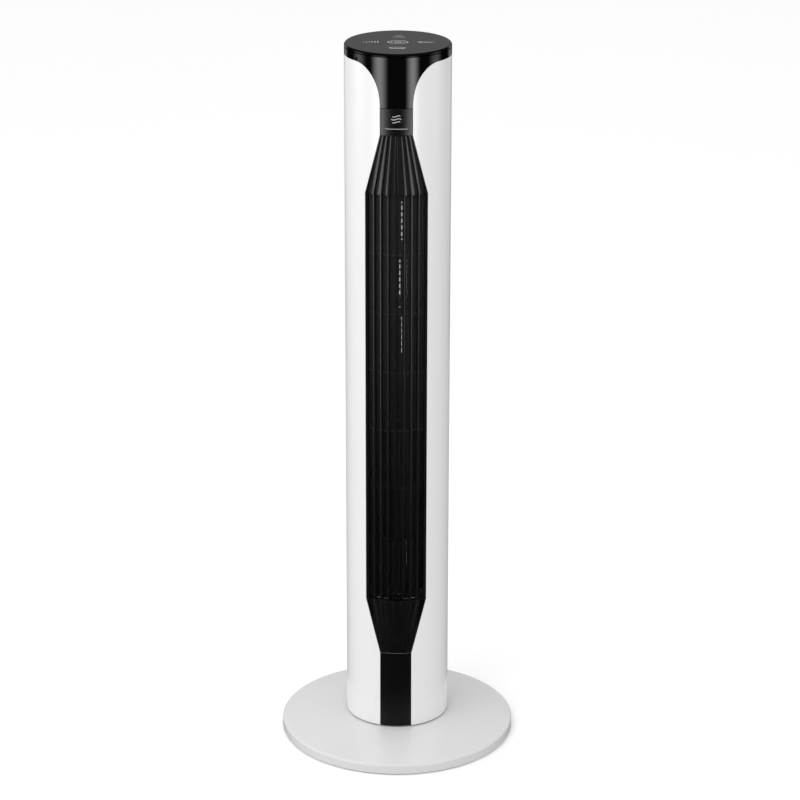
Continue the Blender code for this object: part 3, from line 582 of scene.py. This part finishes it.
def make_rear_shell():
    inner = COLUMN_RADIUS - WALL
    seam = math.radians(90) + GAP / 2 / COLUMN_RADIUS
    half = math.asin(INTAKE_HIGH.x / (COLUMN_RADIUS - GAP)) + GAP / COLUMN_RADIUS
    left = math.pi - half
    right = math.pi + half
    across = steps(seam, left, 16) + steps(left, right, 40)[1:] + steps(right, math.tau - seam, 16)[1:]
    bottom = INTAKE_LOW.z - GAP
    top = INTAKE_HIGH.z + GAP

    def solid(angle, radius, z):
        return not (left < angle < right and bottom < z < top)

    levels = [COLUMN_BOTTOM, *LOWER_WELLS, bottom, top, *UPPER_WELLS, SHELL_TOP - GAP]
    mesh = lattice("rear_shell_skin", across, [inner, COLUMN_RADIUS], levels, solid, polar)
    made = show("rear_shell_skin", mesh, WHITE)
    outline = [(0, WELL_FLOOR), (WELL_RADIUS, WELL_FLOOR), (WELL_RADIUS, WELL_OUTSIDE), (0, WELL_OUTSIDE)]
    for number, angle, z in screw_places():
        well = turned("well", outline, 32)
        well.transform(radial_matrix(angle, z))
        cut_away(made, show(f"well_{number}", well, STEEL))
    round_edges(made, FINE_EDGE)
    fit(made, "column", "white_gloss", "rear_shell")


def make_shell_screws():
    """Pan-head screws with a cross recess."""
    shank = SCREW_SHANK_RADIUS
    head = SCREW_HEAD_RADIUS
    profile = [(0, SCREW_TIP), (SCREW_POINT_RADIUS, SCREW_TIP), (shank, SCREW_TIP + 0.0006)]
    profile += [(shank, SCREW_SEAT), (head, SCREW_SEAT), (head, SCREW_SEAT + SCREW_HEAD_SIDE)]
    profile += [(head * 0.86, SCREW_FACE - 0.0002), (head * 0.5, SCREW_FACE), (0, SCREW_FACE)]
    for number, angle, z in screw_places():
        matrix = radial_matrix(angle, z)
        mesh = turned("screw", profile, 32)
        mesh.transform(matrix)
        made = show(f"rear_screw_{number}", mesh, STEEL)
        for arm in ((RECESS_LENGTH, RECESS_WIDTH), (RECESS_WIDTH, RECESS_LENGTH)):
            shape = bmesh.new()
            bmesh.ops.create_cube(shape, size=1)
            bmesh.ops.scale(shape, vec=(*arm, RECESS_HEIGHT), verts=shape.verts)
            bmesh.ops.translate(shape, vec=(0, 0, SCREW_FACE), verts=shape.verts)
            slot = mesh_from("recess", shape)
            slot.transform(matrix)
            cut_away(made, show("recess", slot, STEEL))
        fit(made, "column", "steel", f"shell_screw_{number}")


def make_rear_grille():
    """Fine slats between upright posts, in a frame."""
    outer = COLUMN_RADIUS - GAP
    half = math.asin(INTAKE_HIGH.x / outer)
    open_half = half - INTAKE_SIDE_BORDER / outer
    levels = [INTAKE_LOW.z, INTAKE_LOW.z + INTAKE_BORDER, INTAKE_HIGH.z - INTAKE_BORDER, INTAKE_HIGH.z]
    bend = [math.pi + a for a in steps(-open_half, open_half, 40)]
    shape = bmesh.new()

    def in_frame(angle, radius, z):
        return abs(angle - math.pi) > open_half or not levels[1] < z < levels[2]

    def radii(depths):
        return [outer - depth for depth in depths]

    across = [math.pi - half] + bend + [math.pi + half]
    add_lattice(shape, across, radii((INTAKE_DEPTH, 0)), levels, in_frame, polar)
    for index in range(1, SLATS):
        middle = blend_between(levels[1], levels[2], index / SLATS)

        def slat(angle, radius, z, middle=middle):
            return polar(angle, radius, middle + z + SLAT_LEAN * (outer - radius) / SLAT_DEPTHS[0])

        heights = [-SLAT_HALF_HEIGHT, SLAT_HALF_HEIGHT]
        add_lattice(shape, bend, radii(SLAT_DEPTHS), heights, everywhere, slat)
    ends = [levels[1] - INTAKE_BORDER / 2, levels[2] + INTAKE_BORDER / 2]
    for place in POST_PLACES:
        middle = math.pi + place * open_half / 3
        sides = [middle - POST_HALF_WIDTH / outer, middle + POST_HALF_WIDTH / outer]
        add_lattice(shape, sides, radii(POST_DEPTHS), ends, everywhere, polar)
    made = show("rear_grille_slats", mesh_from("rear_grille_slats", shape), WHITE)
    round_edges(made, SLAT_EDGE)
    fit(made, "column", "white_gloss", "rear_grille")


# ---- the black front ----


def rib_positions():
    """Where the ribs stand, as shares of the open grille's half width; they are an even angle apart."""
    turns = [(index - (RIB_COUNT - 1) / 2) * RIB_PITCH for index in range(RIB_COUNT)]
    return [math.sin(turn) * COLUMN_RADIUS / GRILLE_HALF_WIDTH for turn in turns]


def bar_outline(middle):
    """Points across one bar of a taper: place, share of the groove's depth, and the edge's drop."""
    half = BAR_SHARE / (RIB_COUNT + 1)
    edge = BAR_EDGE / GRILLE_HALF_WIDTH
    left = [(-half - edge / 2, 1, 0)]
    for degrees in (0, 30, 60, 90):
        turn = math.radians(degrees)
        left.append((edge * (1 - math.cos(turn)) - half, 0, BAR_EDGE * (1 - math.sin(turn))))
    right = [(-u, share, drop) for u, share, drop in left[::-1]]
    return [(middle + u, share, drop) for u, share, drop in left + [(0, 0, 0)] + right]


def add_rib(shape, share):
    """An upright rib with a crowned tip; the share is its place across the open grille."""
    half = RIB_HALF_WIDTH
    centre = COLUMN_RADIUS - RIB_TIP_DEPTH - RIB_CROWN
    points = [(-half - RIB_ROOT_FLARE, RIB_ROOT)]
    points += [(x, centre + math.sqrt(RIB_CROWN**2 - x**2)) for x in steps(-half, half, 6)]
    points.append((half + RIB_ROOT_FLARE, RIB_ROOT))
    angle = math.asin(share * GRILLE_HALF_WIDTH / COLUMN_RADIUS)
    aside = polar(angle + math.pi / 2, 1, 0)
    outwards = polar(angle, 1, 0)
    ends = (LOWER_TAPER_TOP - RIB_OVERLAP, UPPER_TAPER_BOTTOM + RIB_OVERLAP)
    add_swept(shape, [[outwards * r + aside * x + Vector((0, 0, z)) for x, r in points] for z in ends])


def make_front_grille():
    """Side frames, tapers with bars and grooves, and upright ribs."""
    shape = bmesh.new()

    def upright(u, radius, z):
        return polar(math.asin(u * front_half_width(z) / COLUMN_RADIUS), radius, z)

    levels = LOWER_TAPER + UPPER_TAPER
    for side in (-1, 1):
        across = sorted((side, side * (1 - FRAME_SHARE)))
        add_lattice(shape, across, [GRILLE_BACK, COLUMN_RADIUS], levels, everywhere, upright)

    # Each taper is a solid with a broad bar in line with every rib, and a groove between the bars.
    outline = [(-1 + FRAME_SHARE / 2, 1, 0)]
    for middle in rib_positions():
        outline += bar_outline(middle * BAR_SPREAD)
    outline.append((1 - FRAME_SHARE / 2, 1, 0))

    def grooved(shallow, deep):
        def place(index, depth, z):
            u, share, drop = outline[index]
            if depth == 0:
                return upright(u, GRILLE_BACK, z)
            widening = (front_half_width(z) - NECK_HALF_WIDTH) / (GRILLE_HALF_WIDTH - NECK_HALF_WIDTH)
            return upright(u, COLUMN_RADIUS - drop - share * blend_between(shallow, deep, widening), z)

        return place

    for taper, depths in ((LOWER_TAPER, LOWER_GROOVE), (UPPER_TAPER, UPPER_GROOVE)):
        add_lattice(shape, list(range(len(outline))), [0, 1], taper, everywhere, grooved(*depths))
    for share in rib_positions():
        add_rib(shape, share)

    for face in shape.faces:
        depths = [COLUMN_RADIUS - math.hypot(corner.co.x, corner.co.y) for corner in face.verts]
        face.material_index = int(min(depths) > MATTE_DEPTHS[0] or max(depths) > MATTE_DEPTHS[1])
    made = show("front_grille_ribs", mesh_from("front_grille_ribs", shape), GRILLE_BLACK, SOFT_ANGLE)
    made.data.materials.append(MATTE_BLACK)
    fit(made, "column", "black_satin", "front_grille")


def make_inner_screen():
    """Very fine level wires behind the ribs, finer still towards the bottom, and a band between bays. Their
    thickness paints light between the ribs: brighter towards the top, darker towards the bottom, with faint
    painted lines of light at the bands.
    """
    shape = bmesh.new()
    low = LOWER_TAPER_TOP + SCREEN_MARGIN
    high = UPPER_TAPER_BOTTOM - SCREEN_MARGIN
    reach = front_angle(blend_between(low, high, 0.5))
    bend = steps(-reach, reach, 12)

    def add_level(z, heights, share):
        # Painted light: the wires grow fuller towards the top, so the gaps read brighter high up and darker low
        # down.
        painted_light_fullness = (share * share * (3 - 2 * share)) ** SCREEN_PAINTED_LIGHT_GROWTH
        half = blend_between(*heights, painted_light_fullness) / 2
        add_lattice(shape, bend, SCREEN_RADII, [z - half, z + half], everywhere, polar)

    count = round((high - low) / SCREEN_PITCH)
    for index in range(count + 1):
        add_level(blend_between(low, high, index / count), SCREEN_WIRE, index / count)
    # Painted lines of light: a fuller band every seventh of the open grille's height, brighter higher up.
    for index in range(1, SCREEN_BAYS):
        share = index / SCREEN_BAYS
        add_level(blend_between(LOWER_TAPER_TOP, UPPER_TAPER_BOTTOM, share), SCREEN_BAND, share)
    made = show("inner_screen", mesh_from("inner_screen", shape), SCREEN_BLACK, SOFT_ANGLE)
    fit(made, "column", "black_satin")


def make_sill():
    """The rounded lip in front of the lowest wheel, which follows the column's front."""
    outline = arc(SILL_CENTRE, SILL_RADIUS, 0, 345, 23)
    shape = bmesh.new()
    bend = steps(-SILL_REACH, SILL_REACH, 36)
    add_swept(shape, [[polar(angle, r, z) for r, z in outline] for angle in bend])
    made = show("lower_sill", mesh_from("lower_sill", shape), GRILLE_BLACK, SOFT_ANGLE)
    fit(made, "column", "black_satin")


def make_inlay(name, low, high, finish, slot, node):
    """A plate that fills the black front's width between two heights."""
    inner = COLUMN_RADIUS - WALL + WEB_THICKNESS + GAP

    def place(u, radius, z):
        return polar(u * front_angle(z), radius, z)

    mesh = lattice(name, steps(-1, 1, 24), [inner, COLUMN_RADIUS], [low, high], everywhere, place)
    made = show(name, mesh, finish)
    round_edges(made, SOFT_EDGE, 3)
    fit(made, "column", slot, node)


def make_head():
    """The head, whose lower edge follows the flare where u is between -1 and 1."""
    inner = COLUMN_RADIUS - WALL
    deck = HEAD_HIGH.z - WALL
    levels = [HEAD_LOW.z] + FLARE_LEVELS + [deck, HEAD_HIGH.z]
    across = steps(-1, 1, 48) + steps(1, 3, 104)[1:-1]

    def solid(u, radius, level):
        if radius < inner:
            return level > deck
        return level > SHELL_TOP or u < 1

    def place(u, radius, level):
        edge, height = edge_point(min(level, SHELL_TOP))
        if level > SHELL_TOP:
            height = level
        if u <= 1:
            return polar(u * edge, radius, blend_between(level, height, abs(u)))
        return polar(blend_between(FLARE_END_ANGLE, math.pi, u - 1), radius, level)

    mesh = lattice("head_shell", across, [DECK_HOLE, inner, COLUMN_RADIUS], levels, solid, place, ring=True)
    made = show("head_shell", mesh, PIANO_BLACK)
    round_edges(made, SOFT_EDGE, 3)
    fit(made, "column", "black_gloss", "head_housing")


# ---- the touch panel and its print ----


def make_panel():
    """The touch panel, matt on top and glossy round its edge."""
    low = PANEL_LOW.z
    top = PANEL_HIGH.z
    flat = COLUMN_RADIUS - PANEL_ROUND
    profile = [(0, low), (COLUMN_RADIUS - PANEL_UNDERCUT, low), (COLUMN_RADIUS - 0.0002, low + 0.0002)]
    profile += [(COLUMN_RADIUS, low + PANEL_LOW_EDGE)]
    profile += arc((flat, top - PANEL_ROUND), PANEL_ROUND, 0, 90, 10)
    profile += [(flat - PANEL_BORDER, top), (PANEL_FLAT_RADIUS, top), (0, top)]
    mesh = turned("touch_panel", profile, 144)
    made = show("touch_panel", mesh, TOUCH_BLACK, SOFT_ANGLE)
    mesh.materials.append(PIANO_BLACK)
    for face in mesh.polygons:
        reach = math.hypot(face.center.x, face.center.y)
        face.material_index = int(reach > flat + PANEL_GLOSS_INSET)
    fit(made, "column", "black_gloss", "control_panel")


def add_ribbon(shape, points, width, surface, closed=False):
    """Adds a flat printed stroke along 2-D points; surface(x, y, lift) puts it on the object."""
    count = len(points)
    rows = []
    for index, (x, y) in enumerate(points):
        before = points[index - 1] if closed or index else points[index]
        after = points[(index + 1) % count] if closed or index < count - 1 else points[index]
        along = Vector((after[0] - before[0], after[1] - before[1])).normalized()
        aside = Vector((-along.y, along.x)) * width / 2
        rows.append(((x - aside.x, y - aside.y), (x + aside.x, y + aside.y)))

    def place(u, side, lift):
        return surface(*rows[u][side], lift)

    add_lattice(shape, list(range(count)), [0, 1], INK_LIFTS, everywhere, place, ring=closed)


def circle(centre, radius, first, last, count, flat=1.0):
    return [(x, centre[1] + (y - centre[1]) * flat) for x, y in arc(centre, radius, first, last, count)]


def on_top(x, y, lift):
    return Vector((x, y, PANEL_HIGH.z + lift))


def add_power_mark(shape):
    """The power sign in the middle, in a flattened ring with a small ring on each side."""
    stroke = 0.0007
    add_ribbon(shape, circle((0, 0), 0.0122, 0, 350, 35, flat=0.60), stroke, on_top, closed=True)
    add_ribbon(shape, circle((0, 0), 0.0036, 125, 415, 20), stroke, on_top)
    add_ribbon(shape, [(0, 0.0012), (0, 0.0050)], stroke, on_top)
    for side in (-1, 1):
        add_ribbon(shape, circle((side * 0.0072, 0), 0.0013, 0, 330, 11), 0.0004, on_top, closed=True)


def add_speed_mark(shape):
    """Six strokes on the left, each longer than the last."""
    for index in range(6):
        x = -0.0415 + index * 0.0034
        add_ribbon(shape, [(x, -0.0022), (x, -0.0008 + index * 0.0007)], 0.0013, on_top)


def add_timer_mark(shape):
    """A clock on the right, and five strokes, each shorter than the last."""
    x = 0.0275
    add_ribbon(shape, circle((x, 0), 0.0028, 0, 345, 23), 0.0006, on_top, closed=True)
    add_ribbon(shape, [(x, 0.0018), (x, 0), (x + 0.0015, -0.0008)], 0.0005, on_top)
    for index in range(5):
        x = 0.0325 + index * 0.0026
        add_ribbon(shape, [(x, -0.0010), (x, 0.0022 - index * 0.0004)], 0.0013, on_top)


def add_swing_mark(shape):
    """In front, an arc with an arrowhead at each end, and a bar."""
    stroke = 0.0007
    sweep = circle((0, -0.0425), 0.0150, 50, 130, 16)
    add_ribbon(shape, sweep, stroke, on_top)
    for (x, y), side in ((sweep[0], 1), (sweep[-1], -1)):
        add_ribbon(shape, [(x - side * 0.0022, y - 0.0002), (x, y), (x, y + 0.0026)], stroke, on_top)
    add_ribbon(shape, [(-0.0085, -0.0335), (0.0085, -0.0335)], 0.0013, on_top)


def add_lamps(shape):
    """Five short strokes at the back, and a bar behind them."""
    for index in range(5):
        x = -0.0060 + index * 0.0030
        add_ribbon(shape, [(x - 0.0008, 0.0265), (x + 0.0008, 0.0265)], 0.0012, on_top)
    add_ribbon(shape, [(-0.0045, 0.0325), (0.0045, 0.0325)], 0.0008, on_top)


def make_panel_print():
    shape = bmesh.new()
    for add_mark in (add_power_mark, add_speed_mark, add_timer_mark, add_swing_mark, add_lamps):
        add_mark(shape)
    made = show("touch_marks", mesh_from("touch_marks", shape), INK, PRINT_ANGLE)
    fit(made, "column", "nylon")


def on_badge(x, z, lift):
    return polar(math.asin(x / COLUMN_RADIUS), COLUMN_RADIUS + lift, z)


def make_badge_mark():
    """A plain sign of three streams of air, with a short bar below."""
    shape = bmesh.new()
    middle = blend_between(BADGE_BOTTOM, BADGE_TOP, 0.62)
    for row, reach in ((-1, 0.0048), (0, BADGE_STREAM_REACH), (1, 0.0048)):
        level = middle + row * BADGE_STREAM_PITCH
        places = steps(-reach, reach, 18)
        points = [(x, level + BADGE_STREAM_WAVE * math.sin(x / BADGE_STREAM_REACH * math.pi)) for x in places]
        add_ribbon(shape, points, 0.0010, on_badge)
    bar = blend_between(BADGE_BOTTOM, BADGE_TOP, 0.26)
    add_ribbon(shape, [(x, bar) for x in steps(-0.0135, 0.0135, 12)], 0.0007, on_badge)
    made = show("badge_mark", mesh_from("badge_mark", shape), BADGE_INK, PRINT_ANGLE)
    fit(made, "column", "nylon")


# ---- the base ----


def dome_height(radius):
    """The height of the base's top face, which falls from the flat in its middle to its rim."""
    rim = BASE_RADIUS - BASE_EDGE_ROUND
    share = max((radius - BASE_FLAT_RADIUS) / (rim - BASE_FLAT_RADIUS), 0)
    return BASE_CREST - (BASE_CREST - BASE_RIM_TOP) * share**BASE_DOME_POWER


def slot_outline(width, height, count):
    """Points (x, z) round a slot with round ends."""
    end = arc((width / 2 - height / 2, 0), height / 2, -90, 90, count)
    return end + [(-x, -z) for x, z in end]


def make_base_cover():
    rim = BASE_RADIUS - BASE_EDGE_ROUND
    inner = BASE_RADIUS - WALL
    profile = [(BASE_RADIUS - BASE_CHAMFER, BASE_UNDERSIDE), (BASE_RADIUS, BASE_UNDERSIDE + BASE_CHAMFER)]
    profile += arc((rim, BASE_RIM_TOP - BASE_EDGE_ROUND), BASE_EDGE_ROUND, 0, 84, 9)
    dome = steps(rim - BASE_RIM_BLEND, BASE_FLAT_RADIUS, BASE_DOME_STEPS)
    profile += [(radius, dome_height(radius)) for radius in dome]
    profile += [(BASE_HOLE_RADIUS, BASE_CREST), (BASE_HOLE_RADIUS, BASE_CREST - WALL)]
    # The inner face follows the dome out to near the rim, and then turns down.
    inside = reversed(dome[BASE_RIM_STEPS:])
    profile += [(radius - BASE_INNER_SHIFT, dome_height(radius) - WALL) for radius in inside]
    profile += [(inner, BASE_RIM_TOP - 2 * WALL), (inner, BASE_UNDERSIDE)]
    made = show("base_disc", turned("base_disc", profile, 192), BASE_WHITE, SOFT_ANGLE)
    low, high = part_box("cord_gland")
    outline = slot_outline(high.x - low.x + 2 * GAP, high.z - low.z + 2 * GAP, 8)
    middle = (low.z + high.z) / 2
    ends = (BASE_RADIUS - GLAND_CUT_REACH, BASE_RADIUS + GLAND_CUT_REACH)
    shape = bmesh.new()
    add_swept(shape, [[(x, y, middle + z) for x, z in outline] for y in ends])
    cut_away(made, show("gland_hole", mesh_from("gland_hole", shape), RUBBER))
    fit(made, "base", "white_gloss", "base_cover")


def make_gland():
    low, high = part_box("cord_gland")
    middle = (low.z + high.z) / 2
    outer = slot_outline(high.x - low.x, high.z - low.z, 10)
    inner = slot_outline(high.x - low.x - 2 * GLAND_WALL, high.z - low.z - 2 * GLAND_WALL, 10)

    def place(u, depth, y):
        x, z = (inner, outer)[depth][u]
        return Vector((x, y, middle + z))

    around = list(range(len(outer)))
    mesh = lattice("gland_sleeve", around, [0, 1], [low.y, high.y], everywhere, place, ring=True)
    made = show("gland_sleeve", mesh, RUBBER)
    round_edges(made, GLAND_EDGE, 3)
    fit(made, "base", "rubber", "cord_gland")


def make_feet():
    """Round pads, each hollowed a little in the middle."""
    for number in range(1, 6):
        low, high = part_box(f"base_foot_{number}")
        centre = ((low.x + high.x) / 2, (low.y + high.y) / 2)
        radius = (high.x - low.x) / 2
        hollow = radius * FOOT_HOLLOW_SHARE
        roof = low.z + FOOT_HOLLOW_DEPTH
        profile = [(0, roof), (hollow * 0.9, roof), (hollow, low.z), (radius - FOOT_EDGE[0], low.z)]
        profile += [(radius, low.z + FOOT_EDGE[1]), (radius, high.z), (0, high.z)]
        shape = bmesh.new()
        add_turned(shape, profile, 40, centre)
        made = show(f"foot_pad_{number}", mesh_from("foot_pad", shape), RUBBER)
        fit(made, "base", "rubber", f"base_foot_{number}")


# ---- the impeller ----


def make_impeller():
    """Seven short wheels: a thin disc with curved blades, unevenly spaced so that they don't whistle."""
    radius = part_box("impeller_cap")[1].x
    inner = radius - BLADE_WIDTH
    for number, turn in enumerate(WHEEL_TURNS, 1):
        low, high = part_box(f"impeller_segment_{number}")
        top = low.z + WHEEL_DISC
        shape = bmesh.new()
        disc = [(WHEEL_BORE, low.z), (radius - WHEEL_CHAMFER, low.z), (radius, low.z + WHEEL_CHAMFER)]
        disc += [(radius, top - WHEEL_CHAMFER), (radius - WHEEL_CHAMFER, top), (WHEEL_BORE, top)]
        add_turned(shape, disc, 72)
        for blade in range(BLADE_COUNT):
            position = blade + BLADE_UNEVENNESS * math.sin(BLADE_RHYTHM * blade + BLADE_RHYTHM_START)
            start = math.tau * position / BLADE_COUNT + math.radians(turn)

            def place(share, side, z, start=start):
                angle = start + BLADE_SWEEP * share**BLADE_CURVE
                thickness = BLADE_HALF_THICKNESS * (1 - BLADE_TAPER * abs(2 * share - 1))
                aside = polar(angle + math.pi / 2, side * thickness, 0)
                return polar(angle, blend_between(inner, radius - BLADE_TIP_INSET, share), z) + aside

            add_lattice(shape, steps(0, 1, 6), [-1, 1], [top - BLADE_SINK, high.z], everywhere, place)
        made = show(f"wheel_{number}", mesh_from("wheel", shape), IMPELLER_BLACK, SOFT_ANGLE)
        fit(made, "impeller", "black_satin", f"impeller_segment_{number}")


# ---- finishes of the CAD nodes that stay ----


def finish_nodes():
    finishes = (
        (STEEL, "base_weight pivot_post post_washer post_clip motor_lower_cap motor_upper_cap motor_rotor"),
        (STEEL, "oscillation_motor base_screw_1 base_screw_2 base_screw_3 base_screw_4"),
        (COPPER, "motor_stator"),
        (GREY_PLASTIC, "base_bottom_plate column_floor"),
        (DUCT_BLACK, "upper_bracket motor_bracket duct_scroll duct_tongue"),
        (NYLON, "slide_ring fixed_gear drive_pinion upper_bearing impeller_hub"),
        (CIRCUIT, "control_board power_board"),
        (RUBBER, "wiring_loom"),
        (IMPELLER_BLACK, "impeller_cap"),
    )
    for finish, names in finishes:
        for name in names.split():
            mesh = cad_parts[name].data
            mesh.materials.clear()
            mesh.materials.append(finish)


# ---- floor, light and camera ----


def make_floor():
    mesh = bpy.data.meshes.new("floor")
    corners = [(x * FLOOR_REACH, y * FLOOR_REACH, 0) for x, y in ((-1, -1), (1, -1), (1, 1), (-1, 1))]
    mesh.from_pydata(corners, [], [(0, 1, 2, 3)])
    made = bpy.data.objects.new("floor", mesh)
    bpy.context.scene.collection.objects.link(made)
    mesh.materials.append(FLOOR_FINISH)
    made.visible_glossy = False
    made.visible_diffuse = False


def add_card(name, azimuth, distance, low, high, width, level, foot):
    """An upright card that only gloss mirrors, soft at its sides and fading down to its foot.

    The azimuth counts from the front, positive towards +X.
    """
    mesh = bpy.data.meshes.new(name)
    half = width / 2
    mesh.from_pydata([(-half, 0, low), (half, 0, low), (half, 0, high), (-half, 0, high)], [], [(0, 1, 2, 3)])
    glow = bpy.data.materials.new(name)
    glow.use_nodes = True
    tree = glow.node_tree
    tree.nodes.remove(tree.nodes["Principled BSDF"])
    emission = tree.nodes.new("ShaderNodeEmission")
    link(tree, emission, "Emission", tree.nodes["Material Output"], "Surface")
    where = tree.nodes.new("ShaderNodeTexCoord")
    split = tree.nodes.new("ShaderNodeSeparateXYZ")
    link(tree, where, "Object", split, "Vector")
    outwards = add_math(tree, "ABSOLUTE")
    link(tree, split, "X", outwards, 0)
    across = tree.nodes.new("ShaderNodeMapRange")
    across.interpolation_type = "SMOOTHSTEP"
    across.inputs["From Min"].default_value = half
    across.inputs["From Max"].default_value = 0
    link(tree, outwards, "Value", across, "Value")
    upwards = tree.nodes.new("ShaderNodeMapRange")
    upwards.interpolation_type = "SMOOTHSTEP"
    upwards.inputs["From Min"].default_value = low
    upwards.inputs["From Max"].default_value = foot
    upwards.inputs["To Max"].default_value = level
    link(tree, split, "Z", upwards, "Value")
    both = add_math(tree, "MULTIPLY")
    link(tree, across, "Result", both, 0)
    link(tree, upwards, "Result", both, 1)
    link(tree, both, "Value", emission, "Strength")
    mesh.materials.append(glow)
    made = bpy.data.objects.new(name, mesh)
    bpy.context.scene.collection.objects.link(made)
    made.location = polar(math.radians(azimuth), distance, 0)
    made.rotation_euler.z = math.radians(azimuth)
    made.visible_camera = False
    made.visible_diffuse = False
    made.visible_shadow = False
    made.visible_transmission = False


def add_soft_light(name, place, size, level):
    """A square light aimed at the column's middle, which no gloss mirrors."""
    data = bpy.data.lights.new(name, "AREA")
    data.size = size
    data.energy = level * math.pi * size**2
    made = bpy.data.objects.new(name, data)
    bpy.context.scene.collection.objects.link(made)
    made.location = place
    made.rotation_euler = (LIGHT_TARGET - made.location).to_track_quat("-Z", "Y").to_euler()
    made.visible_camera = False
    made.visible_glossy = False


def make_light():
    """A pale room, a soft key from the front left and a fill from the left; gloss mirrors only the cards."""
    world = bpy.data.worlds.new("studio")
    bpy.context.scene.world = world
    world.cycles_visibility.glossy = False
    world.use_nodes = True
    tree = world.node_tree
    where = tree.nodes.new("ShaderNodeTexCoord")
    facing = tree.nodes.new("ShaderNodeVectorMath")
    facing.operation = "DOT_PRODUCT"
    facing.inputs[1].default_value = SKY_SLOPE
    link(tree, where, "Generated", facing, 0)
    level = add_math(tree, "ADD", SKY_LEVEL)
    link(tree, facing, "Value", level, 0)
    sky = tree.nodes["Background"]
    sky.inputs["Color"].default_value = (1, 1, 1, 1)
    link(tree, level, "Value", sky, "Strength")
    add_soft_light("key", KEY_PLACE, KEY_SIZE, KEY_LEVEL)
    add_soft_light("fill", FILL_PLACE, FILL_SIZE, FILL_LEVEL)
    for card in CARDS:
        add_card(*card)


def make_camera():
    data = bpy.data.cameras.new("camera")
    data.lens = CAMERA_LENS
    data.sensor_width = 36
    data.clip_end = 100
    made = bpy.data.objects.new("camera", data)
    bpy.context.scene.collection.objects.link(made)
    aside = Vector((math.cos(CAMERA_AZIMUTH), math.sin(CAMERA_AZIMUTH), 0)) * CAMERA_ASIDE
    made.location = polar(CAMERA_AZIMUTH, CAMERA_DISTANCE, CAMERA_HEIGHT) + aside
    turn = Matrix.Rotation(CAMERA_AZIMUTH, 4, "Z") @ Matrix.Rotation(math.pi / 2 - CAMERA_PITCH, 4, "X")
    made.rotation_euler = (turn @ Matrix.Rotation(CAMERA_ROLL, 4, "Z")).to_euler()
    bpy.context.scene.camera = made
    bpy.context.scene.view_settings.view_transform = "Standard"


make_front_shell()
make_rear_shell()
make_shell_screws()
make_rear_grille()
make_front_grille()
make_inner_screen()
make_sill()
make_inlay("strip_cover", STRIP_LOW.z, STRIP_HIGH.z - STRIP_SEAM, STRIP_BLACK, "black_gloss", "lower_strip")
make_inlay("badge_cover", BADGE_LOW.z, BADGE_HIGH.z, GRILLE_BLACK, "black_satin", "badge_plate")
make_head()
make_panel()
make_panel_print()
make_badge_mark()
make_base_cover()
make_gland()
make_feet()
make_impeller()
finish_nodes()
make_floor()
make_light()
make_camera()
